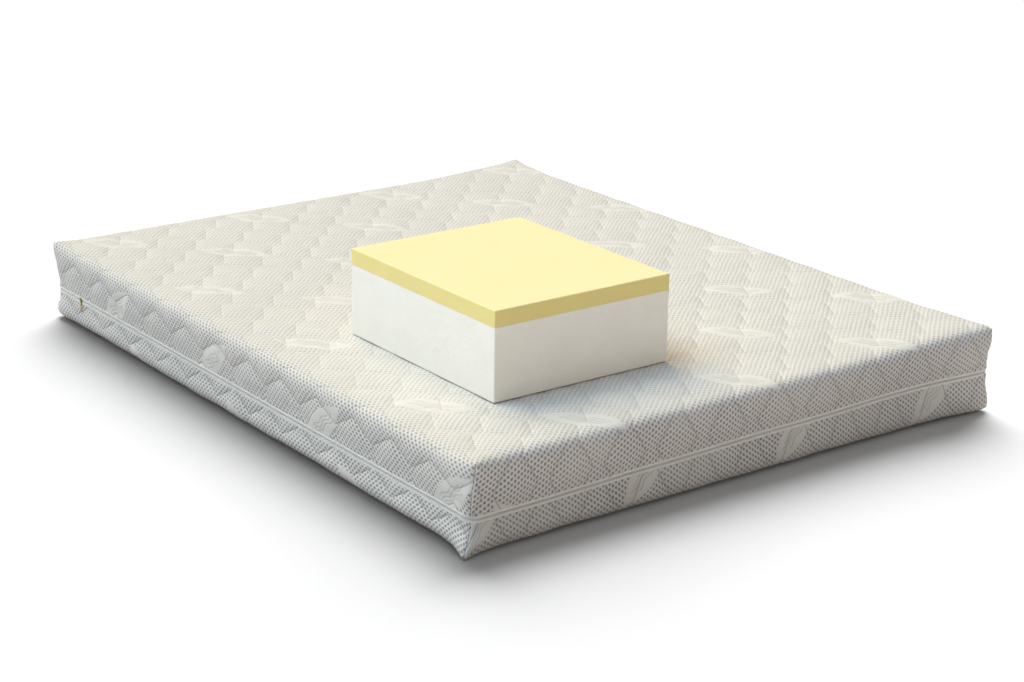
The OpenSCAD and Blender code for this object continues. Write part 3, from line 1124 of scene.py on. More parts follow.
def glue_material():
    """Thin, uneven line of dried glue."""
    pink = (0.86, 0.63, 0.50)
    s = Surface("glue", pink, 0.5)
    at = s.place()
    runs = s.soft(s.noise(at, 12 * MM, 3.0), 0.35, 0.65)
    s.paint(s.mix(runs, (0.86, 0.78, 0.62), pink))
    s.rough(s.soft(runs, 0, 1, 0.7, 0.4))
    s.bump(s.noise(at, 3 * MM, 3.0), 0.3 * MM)
    return s.material


def floor_material():
    """Plain white studio floor."""
    white = (0.75, 0.75, 0.75)
    s = Surface("studio_floor", white, 0.9)
    s.bsdf.inputs["Specular IOR Level"].default_value = 0.0
    return s.material


KNIT = knit_material()
WADDING = wadding_material()
LINING = lining_material()
QUILT_THREAD = thread_material("quilt_thread", (0.72, 0.70, 0.64))
SEAM_THREAD = thread_material("seam_thread", (0.10, 0.105, 0.13))
ZIP_THREAD = thread_material("zip_thread", (0.70, 0.68, 0.62))
TAPE = tape_material()
COIL = coil_material()
STOP = metal_material("zip_stop", (0.75, 0.75, 0.74), (0.45, 0.45, 0.45), 0.3)
BRASS = metal_material("slider_brass", (0.30, 0.23, 0.14), (0.10, 0.075, 0.05), 0.32)
PALE_BRASS = metal_material("tab_brass", (0.83, 0.76, 0.50), (0.50, 0.42, 0.22), 0.3)
WHITE_FOAM = (0.92, 0.90, 0.83)
BASE_FOAM = foam_material("base_foam", WHITE_FOAM, WHITE_FOAM, (0.62, 0.58, 0.50), 1.3 * MM)
# The memory foam's second colour is painted shade for its upright sides.
MEMORY_FOAM = foam_material(
    "memory_foam", (0.83, 0.735, 0.40), (0.85, 0.72, 0.27), (0.64, 0.50, 0.17), 1.1 * MM
)
GLUE = glue_material()


# ------------------------------------------------------------ cover halves

LIP_FOLD = 4 * MM
QUILTING_TAKES_UP = 1.01
sample_low, sample_high = node_box("sample_base_foam")


def under_sample(x, y):
    """1 where the foam block lies, fading to 0 just outside it."""
    gap_x = np.maximum(sample_low[0] - x, x - sample_high[0])
    gap_y = np.maximum(sample_low[1] - y, y - sample_high[1])
    return 1 - smoothstep(-5 * MM, 25 * MM, np.maximum(gap_x, gap_y))


def declare_cloth(sheet, verts):
    """Works out the size that a sheet of the cover was cut to and the cloth it uses, a little more
    than its area because the quilting takes up some of it. Neither is kept or returned."""
    reach = 2 * (sheet.wall + LIP_FOLD)
    flat = (2 * HALF_W + reach, 2 * HALF_L + reach)
    area = float(np.linalg.norm(quad_cross(verts, sheet.faces), axis=1).sum() / 2)
    area = min(area * QUILTING_TAKES_UP, flat[0] * flat[1])


def knit_piece(sheet, verts):
    """Outer cloth of one half. It notes how far over the panel's edge each place is. The knit uses
    this to put painted shade in the quilting creases on the walls and a painted highlight along them
    on the top.
    """
    body = sheet.half.body
    verts = sheet.rolled_lip(verts)
    obj = piece(f"{body}_knit", verts, sheet.faces, KNIT, body, "knit", f"{body}_face")
    write_uv(obj, sheet.corner_uv(sheet.lengths(verts), sheet.half.cloth_shift))
    write_uv(obj, sheet.corner_uv(sheet.nominal()), "stitching")
    wall = obj.data.attributes.new("wall", "FLOAT", "POINT")
    past_edge = sheet.down - sheet.inset * (sheet.down <= 0)
    wall.data.foreach_set("value", smoothstep(-60 * MM, 35 * MM, past_edge))
    declare_cloth(sheet, verts)
    return sheet, verts


def upper_knit():
    """Outer cloth of the upper half, with the dent that the foam block presses in it."""
    sheet = Sheet(UPPER, UPPER.step, lips=LIP_ROWS)
    return knit_piece(sheet, sheet.creased(sheet.bulged(), under_sample))


def lower_knit():
    """Outer cloth of the lower half. It lies on the floor, so its panel is pressed flat,
    and its edges rise a little in places."""
    sheet = Sheet(LOWER, LOWER.step, lips=LIP_ROWS)
    plain = sheet.bulged()
    wavy = 2.2 * MM * (1 + noise(sheet.x, sheet.y, 0.11, 31)) * bump_at(sheet.down, 26 * MM)
    wavy *= smoothstep(60 * MM, 0, sheet.inset)
    plain[:, 2] += wavy * smoothstep(60 * MM, 160 * MM, sheet.to_seam)
    verts = sheet.creased(plain)
    verts[:, 2] = np.maximum(verts[:, 2], BOTTOM_Z + 0.1 * MM)
    return knit_piece(sheet, verts)


LINING_EDGE_R = 34 * MM


def lining_shape(sheet, depth):
    """Places on the lining, at some depth inside its outer side: straight walls, and a
    round edge where they meet the flat panel."""
    half = sheet.half
    side = sheet.side
    radius = LINING_EDGE_R
    w = HALF_W - LINING_IN
    l = HALF_L - LINING_IN
    rim_z = half.panel_z - side * sheet.wall
    z = half.lining_z + (rim_z - half.lining_z) * sheet.level
    point = np.column_stack([sheet.x * w / HALF_W, sheet.y * l / HALF_L, z])
    core = point.copy()
    core[:, 0] = np.clip(point[:, 0], -(w - radius), w - radius)
    core[:, 1] = np.clip(point[:, 1], -(l - radius), l - radius)
    core[:, 2] = side * np.minimum(side * z, side * half.lining_z - radius)
    way = point - core
    far = np.maximum(np.linalg.norm(way, axis=1, keepdims=True), 1e-9)
    place = core + way / far * (radius - depth)
    sheet.follow_zip(place, sheet.x, sheet.y)
    return place


def lining_piece(half):
    """Lining of one half, drawn out towards the knit along the quilting."""
    sheet = Sheet(half, 8 * MM)
    flat = lining_shape(sheet, 1.1 * MM)
    drawn = 0.9 * MM * (1 - np.clip(puff(sheet.u, sheet.v), 0, 1))
    drawn *= smoothstep(0, 25 * MM, sheet.rim)
    verts = flat + normals_of(flat, sheet.faces) * drawn[:, None]
    body = half.body
    obj = piece(f"{body}_inside", verts, sheet.faces, LINING, body, "lining", f"{body}_lining")
    write_uv(obj, sheet.corner_uv(sheet.nominal()))
    declare_cloth(sheet, verts)
    return sheet, verts


def wadding_piece(half):
    """Wadding between the knit and the lining of one half, as a closed pad. It lies lower
    under the knit near the panel's edges, and is at least a thin layer in the middle."""
    sheet = Sheet(half, 9 * MM, half.wadding_gap)
    outer = sheet.creased(sheet.bulged())
    inner = lining_shape(sheet, 0.1 * MM)
    below = (3.6 + 2.4 * smoothstep(90 * MM, 30 * MM, sheet.inset)) * MM
    outer -= normals_of(outer, sheet.faces) * below[:, None]
    flat = (sheet.down <= 0) & (sheet.inset > 90 * MM)
    room = half.side * (outer[:, 2] - inner[:, 2])
    outer[:, 2] += half.side * np.where(flat, np.maximum(0.3 * MM - room, 0), 0)
    count = len(outer)
    rim = sheet.ring_ids[-1]
    after = np.roll(rim, -1)
    bridge = np.stack([rim, rim + count, after + count, after], axis=1)[:, :: -half.side]
    faces = np.concatenate([sheet.faces, sheet.faces[:, ::-1] + count, bridge[:, ::-1]])
    verts = np.concatenate([outer, inner])
    body = half.body
    obj = piece(f"{body}_fibre", verts, faces, WADDING, body, "wadding", f"{body}_wadding")


# ------------------------------------------------------------ threads

STITCH = 4.5 * MM
QUILT_THREAD_R = 0.35 * MM
SEAM_THREAD_R = 0.55 * MM
ZIP_THREAD_R = 0.3 * MM


def stitched_line(sheet, verts, normals, u, v, lift, sink):
    """A thread along places on the cloth that dives into it between its stitches."""
    points = sheet.place(verts, u, v)
    out = unit(sheet.place(normals, u, v))
    dives = np.arange(len(points)) % 2 == 1
    points = points + out * np.where(dives, -sink, lift)[:, None]
    return tube(points, out, QUILT_THREAD_R, 3)


def stitched_cloth(sheet, verts, reach_u, reach_v, lift, sink, flip=1):
    """Every quilting thread of a sheet. flip is -1 where its inner side is the one sewn."""
    normals = normals_of(verts, sheet.faces) * flip
    runs = thread_runs(reach_u, reach_v, STITCH / 2)
    return [stitched_line(sheet, verts, normals, u, v, lift, sink) for u, v in runs]


def thread_runs(reach_u, reach_v, step):
    """Stretches of every zigzag, as (u, v) lists. Beyond the panel a thread runs on over
    the wall, but not across a corner seam."""
    first = math.ceil((-reach_u - THREAD_X) / THREAD_PITCH)
    last = math.floor((reach_u - THREAD_X) / THREAD_PITCH)
    side = 8 * MM
    for k in range(first, last + 1):
        v = np.arange(-reach_v, reach_v, step * THREAD_SLOPE)
        u = zigzag(v, k)
        over_side = np.abs(u) > HALF_W - side
        over_end = np.abs(v) > HALF_L - side
        usable = (np.abs(u) < reach_u) & ~(over_side & over_end)
        edges = np.flatnonzero(np.diff(np.concatenate([[0], usable.astype(int), [0]])))
        for start, end in zip(edges[::2], edges[1::2]):
            if end - start > 6:
                yield u[start:end], v[start:end]


def quilting(outer, lining):
    """All zigzag threads of one half, outside on the knit and inside on the lining."""
    past = outer[0].wall - 3 * MM
    parts = stitched_cloth(*outer, HALF_W + past, HALF_L + past, 0.4 * MM, 0.8 * MM)
    inset = 45 * MM
    parts += stitched_cloth(*lining, HALF_W - inset, HALF_L - inset, 0.2 * MM, 0.5 * MM, -1)
    body = outer[0].half.body
    node = f"{body}_quilt_threads"
    piece(f"{body}_threads", *joined(parts), QUILT_THREAD, body, "thread", node)


def corner_seam_piece(sheet, verts):
    """Dark thread down each corner seam, from the tip of the panel to the zip."""
    parts = []
    normals = normals_of(verts, sheet.faces)
    row = np.linspace(0, sheet.rows, 4 * (sheet.rows + 1))
    number = np.arange(len(row))
    sway = 0.5 * MM * np.sin(number * 1.9)[:, None]
    rise = np.where(number % 3 == 2, -0.5 * MM, 0.35 * MM)[:, None]
    for seam in sheet.seam_at:
        column = np.full(len(row), seam)
        line = blended(verts[sheet.ring_ids], row, column)
        out = unit(blended(normals[sheet.ring_ids], row, column))
        along = np.cross(out, [0, 0, 1.0])
        parts.append(tube(line + along * sway + out * rise, out, SEAM_THREAD_R, 5))
    body = sheet.half.body
    node = f"{body}_corner_seams"
    piece(f"{body}_seams", *joined(parts), SEAM_THREAD, body, "seam_thread", node)


# ------------------------------------------------------------ zip

TOOTH_PITCH = 2.0 * MM
GAP_Z = 0.6 * MM
ROW_W = 3 * MM
STRIP_SECTIONS = 13
SEWN_IN = 6.5 * MM
CROWN_START = 1.4 * MM
CROWN_W = 8.2 * MM
CROWN_H = 2.4 * MM


def zip_tape(half):
    """One tape. It stands in a crown beside the coil and runs on flat behind the knit."""
    path = ZipPath(TAPE_IN, 5 * MM)
    low = GAP_Z
    high = abs(UPPER_RIM_Z - ZIP_Z) + SEWN_IN
    steps = np.linspace(low, high, STRIP_SECTIONS)
    ripple = 0.15 * MM * noise(path.at, path.at * 0, 24 * MM, 41)
    crown = CROWN_H * np.sin(math.pi * np.clip((steps - CROWN_START) / CROWN_W, 0, 1)) ** 0.7
    section = [(ripple - c, half.side * t) for t, c in zip(steps, crown)]
    section += [(TAPE_T + ripple, half.side * t) for t in steps[::-1]]
    lengths = np.concatenate([steps, steps[::-1] + 20 * MM])[:: half.side]
    body = half.body
    verts, faces = swept(path, section[:: half.side])
    obj = piece(f"{body}_tape", verts, faces, TAPE, body, "zip_tape", f"{body}_zip_tape")
    laps = np.append(path.at, path.length)
    along, across = np.meshgrid(laps, np.append(lengths, lengths[0]), indexing="ij")
    corners = grid_faces(np.arange(along.size).reshape(along.shape))[:, ::-1]
    write_uv(obj, np.stack([along.ravel()[corners], across.ravel()[corners]], axis=-1))
    high - low


def in_chain(path, clear):
    """Which steps of the path lie clear of the gap between the two ends of the chain."""
    left = path.out[:, 0] < -0.99
    low = CHAIN_END_Y - clear
    high = CHAIN_START_Y + clear
    return ~(left & (path.xy[:, 1] > low) & (path.xy[:, 1] < high))


# Round a coil loop, in mm: how far in from the middle of the coil, how far from the
# middle of the zip, and half the width.
COIL_LOOP = (
    (0.2, 3.45, 0.36),
    (-0.85, 2.9, 0.42),
    (-1.0, 1.6, 0.42),
    (-0.95, 0.75, 0.62),
    (-0.2, 0.25, 0.62),
    (0.65, 0.9, 0.45),
)
COIL_HALF_T = 0.42 * MM


def teeth(half):
    """One row of coil loops. Each rises from the tape, bulges outward and ends in a thick
    head at the middle of the zip, between two heads of the other row."""
    side = half.side
    path = ZipPath((TAPE_IN + COIL_IN) / 2, TOOTH_PITCH / 2)
    chosen = np.flatnonzero((np.arange(len(path.at)) % 2 == (side > 0)) & in_chain(path, 1 * MM))
    sides = 5
    base = path.ring(0, 0)[chosen]
    out = np.column_stack([path.out[chosen], np.zeros(len(chosen))])
    along = np.column_stack([-path.out[chosen, 1], path.out[chosen, 0], np.zeros(len(chosen))])
    up = np.array([0, 0, 1.0])
    spine = np.array([(-inward, side * rise) for inward, rise, _ in COIL_LOOP]) * MM
    ahead = np.gradient(spine, axis=0)
    ahead /= np.linalg.norm(ahead, axis=1, keepdims=True)
    loops = []
    for (inward, rise, width), (a_out, a_up) in zip(COIL_LOOP, ahead):
        centre = base + out * (-inward * MM) + up * (side * rise * MM)
        for n in range(sides):
            turn = 2 * math.pi * n / sides + math.pi / 2
            across = math.cos(turn) * width * MM
            thick = math.sin(turn) * COIL_HALF_T
            loops.append(centre + along * across + (out * -a_up + up * a_out) * thick)
    ids = np.arange(len(loops)).reshape(-1, sides)
    one = grid_faces(ringed(ids)).tolist()
    one += [ids[0][::-1].tolist(), ids[-1].tolist()]
    verts, faces = joined((loop, one) for loop in np.stack(loops, axis=1))
    body = half.body
    piece(f"{body}_teeth", verts, faces, COIL, body, "zip_coil", f"{body}_zip_coil")


def seam_stitches(half):
    """The row of stitches that holds a tape to the knit, on the tape's inner side."""
    path = ZipPath(TAPE_IN + TAPE_T, 1.25 * MM)
    level = half.side * (abs(UPPER_RIM_Z - ZIP_Z) + 3 * MM)
    turn = np.arange(len(path.at)) % 3
    inner = path.ring(np.where(turn == 2, -0.2 * MM, 0.3 * MM), level)
    out = np.column_stack([path.out, np.zeros(len(path.out))])
    verts, faces = tube(inner, out, ZIP_THREAD_R, 3, closed=True)
    body = half.body
    piece(f"{body}_zip_stitches", verts, faces, ZIP_THREAD, body, "thread", f"{body}_zip_seam")


def bevelled(mesh_parts, width):
    """Rounds the edges of a closed mesh given as vertices and faces."""
    verts, faces = mesh_parts
    mesh = bmesh.new()
    made = [mesh.verts.new(v) for v in verts]
    for polygon in faces:
        mesh.faces.new([made[i] for i in polygon])
    bmesh.ops.recalc_face_normals(mesh, faces=mesh.faces)
    sharp = [e for e in mesh.edges if len(e.link_faces) == 2 and e.calc_face_angle(0) > 0.5]
    bmesh.ops.bevel(
        mesh, geom=sharp, offset=width, segments=2, profile=0.6, affect="EDGES", clamp_overlap=True
    )
    mesh.verts.ensure_lookup_table()
    points = [tuple(v.co) for v in mesh.verts]
    polygons = [[v.index for v in f.verts] for f in mesh.faces]
    mesh.free()
    return points, polygons


def extruded(outline, low, high):
    """A plate: an outline of (a, b) points between two levels, as (level, a, b)."""
    count = len(outline)
    verts = [(low, a, b) for a, b in outline] + [(high, a, b) for a, b in outline]
    faces = [list(range(count))[::-1], [count + n for n in range(count)]]
    for n in range(count):
        after = (n + 1) % count
        faces.append([n, after, after + count, n + count])
    return verts, faces


def rounded_outline(points, radius, steps=5):
    """Rounds the corners of an outline."""
    result = []
    count = len(points)
    for n in range(count):
        here = np.array(points[n])
        before = np.array(points[n - 1]) - here
        after = np.array(points[(n + 1) % count]) - here
        reach = min(radius, np.linalg.norm(before) * 0.45, np.linalg.norm(after) * 0.45)
        start = here + before / np.linalg.norm(before) * reach
        end = here + after / np.linalg.norm(after) * reach
        for step in range(steps + 1):
            t = step / steps
            result.append(tuple((1 - t) ** 2 * start + 2 * t * (1 - t) * here + t * t * end))
    return result


def box_part(low, high, width):
    """A small block with rounded edges, as vertices and faces."""
    outline = [(low[1], low[2]), (high[1], low[2]), (high[1], high[2]), (low[1], high[2])]
    return bevelled(extruded(outline, low[0], high[0]), width)


def stops(half):
    """The crimped metal clips at both ends of a row of teeth."""
    parts = []
    side = half.side
    length = 2.5 * MM
    face_x = -HALF_W + COIL_IN
    back_x = -HALF_W + TAPE_IN
    for y in (CHAIN_END_Y, CHAIN_START_Y - length):
        z = [ZIP_Z + side * GAP_Z, ZIP_Z + side * (GAP_Z + ROW_W)]
        low = (face_x + 0.1 * MM, y + 0.05 * MM, min(z))
        high = (back_x, y + length - 0.05 * MM, max(z))
        parts.append(box_part(low, high, 0.45 * MM))
        for share in (0.3, 0.7):
            rib_y = y + length * share
            low_rib = (face_x - 0.05 * MM, rib_y - 0.25 * MM, min(z) + 0.4 * MM)
            high_rib = (face_x + 0.4 * MM, rib_y + 0.25 * MM, max(z) - 0.4 * MM)
            parts.append(box_part(low_rib, high_rib, 0.12 * MM))
    body = half.body
    node = f"{body}_zip_stops"
    piece(f"{body}_clips", *joined(parts), STOP, body, "zip_stop", node, smooth=False)


# ------------------------------------------------------------ slider and pull tab

slider_low, slider_high = node_box("zip_slider_body")
SLIDER_Y = (slider_low[1] + slider_high[1]) / 2
SLIDER_HALF = (slider_high[1] - slider_low[1]) / 2
PLATE_HALF = (slider_high[2] - slider_low[2]) / 2
FRONT_X = -HALF_W + 7.2 * MM
FRONT_T = 1.2 * MM
BACK_X = -HALF_W + 12.2 * MM
BACK_T = 1.0 * MM
PIN_X = -HALF_W + 5.4 * MM
PIN_R = 0.6 * MM
PIN_HALF_L = 4.1 * MM
POST_IN = 3.5 * MM
POST_OUT = 4.7 * MM


def moved(parts, shift):
    verts, faces = parts
    return [tuple(np.array(v) + shift) for v in verts], faces


def plate_outline(nose, tail):
    """Shield shape of a slider plate: broad where the tapes come in, narrow behind."""
    half = SLIDER_HALF
    points = [(-half, -tail), (-half, tail), (0, nose), (half, nose), (half, -nose), (0, -nose)]
    return rounded_outline(points[::-1], 2.2 * MM)


def slider_piece():
    """Slider body: two plates, the wedge between them, a flange and an arched crown."""
    place = np.array([0, SLIDER_Y, ZIP_Z])
    outline = plate_outline(PLATE_HALF, PLATE_HALF * 0.72)
    front = extruded(outline, FRONT_X, FRONT_X + FRONT_T)
    back = extruded(outline, BACK_X, BACK_X + BACK_T)
    parts = [bevelled(front, 0.35 * MM), bevelled(back, 0.3 * MM)]
    wedge_low = (FRONT_X + 0.4 * MM, -SLIDER_HALF + 0.1 * MM, -0.3 * MM)
    wedge_high = (BACK_X + 0.6 * MM, -SLIDER_HALF + 4 * MM, 0.3 * MM)
    parts.append(box_part(wedge_low, wedge_high, 0.1 * MM))
    lip_low = (FRONT_X + 0.3 * MM, -SLIDER_HALF * 0.8, -PLATE_HALF)
    lip_high = (-HALF_W + TAPE_IN - 0.35 * MM, SLIDER_HALF * 0.85, -PLATE_HALF + 1.9 * MM)
    parts.append(box_part(lip_low, lip_high, 0.4 * MM))
    for end in (-1, 1):
        low = (PIN_X - PIN_R, min(end * POST_IN, end * POST_OUT), -1 * MM)
        high = (FRONT_X + FRONT_T / 2, max(end * POST_IN, end * POST_OUT), 1 * MM)
        parts.append(box_part(low, high, 0.4 * MM))
    turn = np.linspace(-1, 1, 13)
    bar = np.column_stack([0 * turn + PIN_X, turn * PIN_HALF_L, 0 * turn])
    bar_out = np.tile([-1.0, 0, 0], (len(bar), 1))
    parts.append(tube(bar, bar_out, PIN_R, 12))
    verts, faces = joined(moved(part, place) for part in parts)
    node = "zip_slider_body"
    piece("zip_slider", verts, faces, BRASS, "zip_slider", "slider", node, smooth=False)


def circle(centre, radius, steps):
    turns = [2 * math.pi * n / steps for n in range(steps)]
    return [(centre[0] + radius * math.cos(t), centre[1] + radius * math.sin(t)) for t in turns]


def filled_plate(outlines, thickness, bevel):
    """A flat plate with holes, in the plane of its two outline coordinates."""
    curve = bpy.data.curves.new("plate", "CURVE")
    curve.dimensions = "2D"
    curve.fill_mode = "BOTH"
    curve.extrude = thickness / 2 - bevel
    curve.bevel_depth = bevel
    curve.bevel_resolution = 2
    curve.offset = -bevel
    for outline in outlines:
        spline = curve.splines.new("POLY")
        spline.points.add(len(outline) - 1)
        for point, (a, b) in zip(spline.points, outline):
            point.co = (a, b, 0, 1)
        spline.use_cyclic_u = True
    holder = bpy.data.objects.new("plate", curve)
    mesh = holder.to_mesh()
    verts = [(v.co.z, v.co.x, v.co.y) for v in mesh.vertices]
    faces = [list(f.vertices) for f in mesh.polygons]
    bpy.data.objects.remove(holder, do_unlink=True)
    bpy.data.curves.remove(curve)
    return verts, faces


TAB_L = 28 * MM
TAB_HALF_W = 4 * MM
TAB_NECK = 2.2 * MM
TAB_TILT = math.radians(8)
EYE_OUTER_R = 1.35 * MM
EYE_INNER_R = 0.82 * MM
EYE_HALF_W = 2.4 * MM
RIM_SHARE = 0.72
EMBOSSED_BEVEL = 0.12 * MM


def pull_tab():
    """Flat pressed tab with a rolled eye round the crown bar, a raised rim and a hole."""
    half = TAB_HALF_W
    end_y = -TAB_L + half
    lower = [p for p in circle((0, end_y), half, 48) if p[1] <= end_y + 1e-9]
    lower.sort(key=lambda p: p[0])
    shoulders = [(half, -7.5 * MM), (TAB_NECK, -5.2 * MM), (TAB_NECK, -0.9 * MM)]
    outline = lower + shoulders + [(-a, b) for a, b in shoulders[::-1]]
    hole = circle((0, end_y), 1.6 * MM, 24)
    rim = lower + [(half, -7.5 * MM), (-half, -7.5 * MM)]
    inside = [(a * RIM_SHARE, b + 0.28 * (end_y - b) * (b < end_y)) for a, b in lower]
    inside += [(half * RIM_SHARE, -8.2 * MM), (-half * RIM_SHARE, -8.2 * MM)]
    slot = [(-1.1 * MM, -18 * MM), (1.1 * MM, -18 * MM), (1.1 * MM, -9 * MM), (-1.1 * MM, -9 * MM)]
    parts = [
        filled_plate([outline, hole], 0.7 * MM, 0.15 * MM),
        filled_plate([rim, inside], 1.0 * MM, EMBOSSED_BEVEL),
        filled_plate([rounded_outline(slot, 0.9 * MM)], 1.0 * MM, EMBOSSED_BEVEL),
        rolled_eye(),
    ]
    verts, faces = joined(parts)
    x = verts[:, 0] * math.cos(TAB_TILT) + verts[:, 2] * math.sin(TAB_TILT)
    z = verts[:, 2] * math.cos(TAB_TILT) - verts[:, 0] * math.sin(TAB_TILT)
    placed = np.column_stack([x + PIN_X, verts[:, 1] + SLIDER_Y, z + ZIP_Z])
    piece("zip_tab", placed, faces, PALE_BRASS, "zip_pull", "pull_tab", "zip_pull_tab", smooth=False)


def rolled_eye():
    """The eye of the tab: sheet metal rolled nearly shut round the crown bar."""
    turns = [math.radians(a) for a in range(-82, 263, 12)]
    ring = [(EYE_OUTER_R * math.cos(t), EYE_OUTER_R * math.sin(t)) for t in turns]
    ring += [(EYE_INNER_R * math.cos(t), EYE_INNER_R * math.sin(t)) for t in turns[::-1]]
    count = len(ring)
    verts = [(a, y, b) for y in (-EYE_HALF_W, EYE_HALF_W) for a, b in ring]
    faces = []
    for n in range(count):
        after = (n + 1) % count
        faces.append([n, after, after + count, n + count])
    for n in range(len(turns) - 1):
        quad = [n, n + 1, count - 2 - n, count - 1 - n]
        faces.append(quad[::-1])
        faces.append([i + count for i in quad])
    return verts, faces


# ------------------------------------------------------------ foam


def steps_between(low, high, fine, coarse):
    """Places from low to high: close together near both ends and further apart between."""
    ends = np.array([0, 0.25, 0.6, 1.0, 1.6, 2.6]) * fine
    middle = np.linspace(low + 4 * fine, high - 4 * fine, max(2, round((high - low) / coarse)))
    return np.concatenate([low + ends, middle, high - ends[::-1]])


WAVINESS = 0.8 * MM


def foam_shape(low, high, radius_xy, radius_low, radius_high, seed):
    """A foam block whose sides are a little uneven. Its upright edges and the edges of its
    lower and upper faces are rounded, each by its own radius."""
    xs = steps_between(low[0], high[0], 4 * MM, 22 * MM)
    ys = steps_between(low[1], high[1], 4 * MM, 22 * MM)
    zs = steps_between(low[2], high[2], 3 * MM, 14 * MM)
    parts = []
    for axis, (a, b) in ((0, (ys, zs)), (1, (zs, xs)), (2, (xs, ys))):
        p, q = np.meshgrid(a, b, indexing="ij")
        for value, turn in ((low[axis], 1), (high[axis], -1)):
            fixed = np.full(p.shape, value)
            order = {0: (fixed, p, q), 1: (q, fixed, p), 2: (p, q, fixed)}[axis]
            faces = grid_faces(np.arange(p.size).reshape(p.shape))[:, ::turn]
            parts.append((np.stack(order, axis=-1).reshape(-1, 3), faces.tolist()))
    verts, faces = joined(parts)
    core = verts.copy()
    core[:, :2] = np.clip(verts[:, :2], low[:2] + radius_xy, high[:2] - radius_xy)
    core[:, 2] = np.clip(verts[:, 2], low[2] + radius_low, high[2] - radius_high)
    edge = np.where(verts[:, 2] < core[:, 2], max(radius_low, 1e-6), max(radius_high, 1e-6))
    way = verts - core
    reach = np.column_stack([np.full(len(verts), radius_xy)] * 2 + [edge])
    share = np.linalg.norm(way / np.maximum(reach, 1e-6), axis=1, keepdims=True)
    verts = core + way / np.maximum(share, 1.0)
    wobble = noise(verts[:, 0] + verts[:, 2], verts[:, 1] - verts[:, 2], 45 * MM, seed)
    middle = (low + high)[:2] / 2
    half = (high - low)[:2] / 2
    off = (verts[:, :2] - middle) / half
    near_side = smoothstep(0.9, 1.0, np.max(np.abs(off), axis=1))
    verts[:, :2] -= off * (0.5 * WAVINESS * (1 + wobble) * near_side)[:, None]
    return verts, faces


def welded(obj, distance):
    mesh = bmesh.new()
    mesh.from_mesh(obj.data)
    bmesh.ops.remove_doubles(mesh, verts=mesh.verts, dist=distance)
    bmesh.ops.recalc_face_normals(mesh, faces=mesh.faces)
    mesh.to_mesh(obj.data)
    mesh.free()


def foam_piece(name, body, node, material, radius_xy, radius_low, radius_high, seed):
    """A padded block of foam."""
    slot = node.split("_", 1)[1]
    verts, faces = foam_shape(*node_box(node), radius_xy, radius_low, radius_high, seed)
    obj = piece(name, verts, faces, material, body, slot, node)
    welded(obj, 0.02 * MM)


def glue_node(node):
    obj = frame["nodes"][node]
    obj.data.materials.clear()
    obj.data.materials.append(GLUE)


outer_cloths = (upper_knit(), lower_knit())
linings = (lining_piece(UPPER), lining_piece(LOWER))
for half, outer, lining in zip((UPPER, LOWER), outer_cloths, linings):
    wadding_piece(half)
    quilting(outer, lining)
    corner_seam_piece(*outer)
    zip_tape(half)
    teeth(half)
    seam_stitches(half)
    stops(half)
slider_piece()
pull_tab()

CORE_R = 26.5 * MM
CORE_EDGE_R = 24 * MM
CUT_R = 2.5 * MM
foam_piece("core_white_foam", "core", "core_base_foam", BASE_FOAM, CORE_R, CORE_EDGE_R, 0.0, 51)
foam_piece("core_yellow_foam", "core", "core_memory_foam", MEMORY_FOAM, CORE_R, 0.0, CORE_EDGE_R, 52)
SAMPLE = "foam_sample"
foam_piece("sample_white_foam", SAMPLE, "sample_base_foam", BASE_FOAM, CUT_R, CUT_R, 0.0, 53)
foam_piece("sample_yellow_foam", SAMPLE, "sample_memory_foam", MEMORY_FOAM, CUT_R, 0.0, 3 * MM, 54)
glue_node("core_glue_line")
glue_node("sample_glue_line")


# ------------------------------------------------------------ studio


def floor():
    verts = [(a * FLOOR_HALF, b * FLOOR_HALF, 0) for a, b in ((-1, -1), (1, -1), (1, 1), (-1, 1))]
    mesh = bpy.data.meshes.new("floor")
    mesh.from_pydata(verts, [], [[0, 1, 2, 3]])
    mesh.materials.append(floor_material())
    obj = bpy.data.objects.new("floor", mesh)
    bpy.context.scene.collection.objects.link(obj)
    return obj


SUN_DISTANCE = 8
FLOOR_HALF = 30


def sun(name, azimuth, elevation, strength, softness, color, only=(), without=()):
    """A distant light. It can be made to fall on some objects only, or be kept off some, as
    a flag on a stand would."""
    light = bpy.data.lights.new(name, "SUN")
    light.energy = strength
    light.angle = math.radians(softness)
    light.color = color
    a = math.radians(azimuth)
    e = math.radians(elevation)
    start = Vector((math.cos(e) * math.cos(a), math.cos(e) * math.sin(a), math.sin(e)))
    obj = bpy.data.objects.new(name, light)
    obj.location = start * SUN_DISTANCE
    obj.rotation_mode = "QUATERNION"
    obj.rotation_quaternion = (-start).to_track_quat("-Z", "Y")
    bpy.context.scene.collection.objects.link(obj)
    chosen = bpy.data.collections.new("receivers_of_" + name)
    obj.light_linking.receiver_collection = chosen
    for receiver in (*only, *without):
        chosen.objects.link(receiver)
    for entry in chosen.collection_objects:
        entry.light_linking.link_state = "INCLUDE" if only else "EXCLUDE"


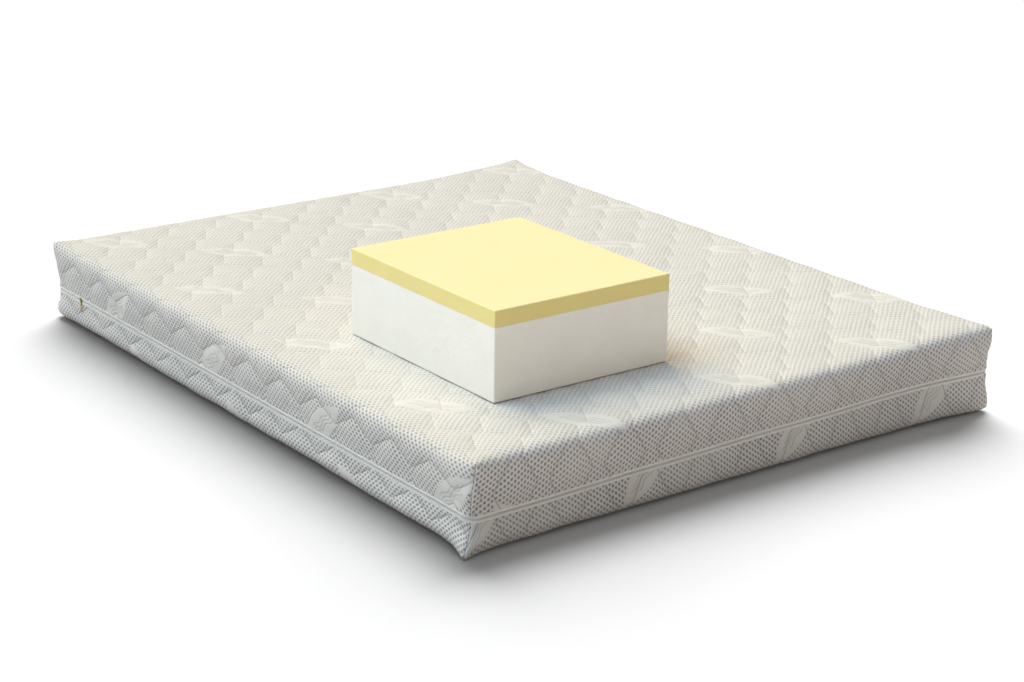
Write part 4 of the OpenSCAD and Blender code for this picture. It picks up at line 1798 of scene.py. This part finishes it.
def white_world(lit, seen):
    """A white room: it lights the scene at one strength and is seen at another."""
    world = bpy.data.worlds.new("studio")
    bpy.context.scene.world = world
    world.use_nodes = True
    tree = world.node_tree
    background = tree.nodes["Background"]
    background.inputs["Color"].default_value = (0.97, 0.985, 1.0, 1)
    path = tree.nodes.new("ShaderNodeLightPath")
    mix = tree.nodes.new("ShaderNodeMapRange")
    mix.inputs["To Min"].default_value = lit
    mix.inputs["To Max"].default_value = seen
    tree.links.new(path.outputs["Is Camera Ray"], mix.inputs["Value"])
    tree.links.new(mix.outputs["Result"], background.inputs["Strength"])


CAMERA_AT = (-3.3286, -4.5046, 1.9768)
CAMERA_AZIMUTH = math.radians(53.06)
CAMERA_DOWN = math.radians(18.93)
CAMERA_ROLL = math.radians(0.98)
LENS_MM = 78.15


def camera():
    """A long lens from the near left corner, tilted down and a touch to the side."""
    data = bpy.data.cameras.new("camera")
    data.lens = LENS_MM
    data.sensor_width = 36
    data.clip_end = 100
    obj = bpy.data.objects.new("camera", data)
    bpy.context.scene.collection.objects.link(obj)
    level = math.cos(CAMERA_DOWN)
    across = level * math.cos(CAMERA_AZIMUTH)
    along = level * math.sin(CAMERA_AZIMUTH)
    aim = Vector((across, along, -math.sin(CAMERA_DOWN))).to_track_quat("-Z", "Y")
    obj.rotation_mode = "QUATERNION"
    obj.rotation_quaternion = aim @ Quaternion((0, 0, 1), CAMERA_ROLL)
    obj.location = CAMERA_AT
    bpy.context.scene.camera = obj


ground = floor()
block = [obj for obj in bpy.data.objects if obj.name.startswith("sample")]
sun("key", 96, 52, 2.9, 50, (1.0, 0.865, 0.62), without=[ground])
sun("backdrop_light", 53, 42, 5.5, 52, (1.0, 1.0, 1.0), only=[ground])
sun("side_light", 163, 60, 2.1, 40, (0.50, 0.75, 1.0), without=[ground])
sun("block_light", 165, 25, 0.5, 50, (1.0, 0.88, 0.66), only=block)
sun("block_front", -60, 25, 0.35, 50, (1.0, 0.86, 0.58), only=block)
sun("front_light", -60, 30, 0.18, 60, (1.0, 0.72, 0.55), without=[ground])
white_world(0.24, 1.1)
camera()
bpy.context.scene.view_settings.view_transform = "Standard"
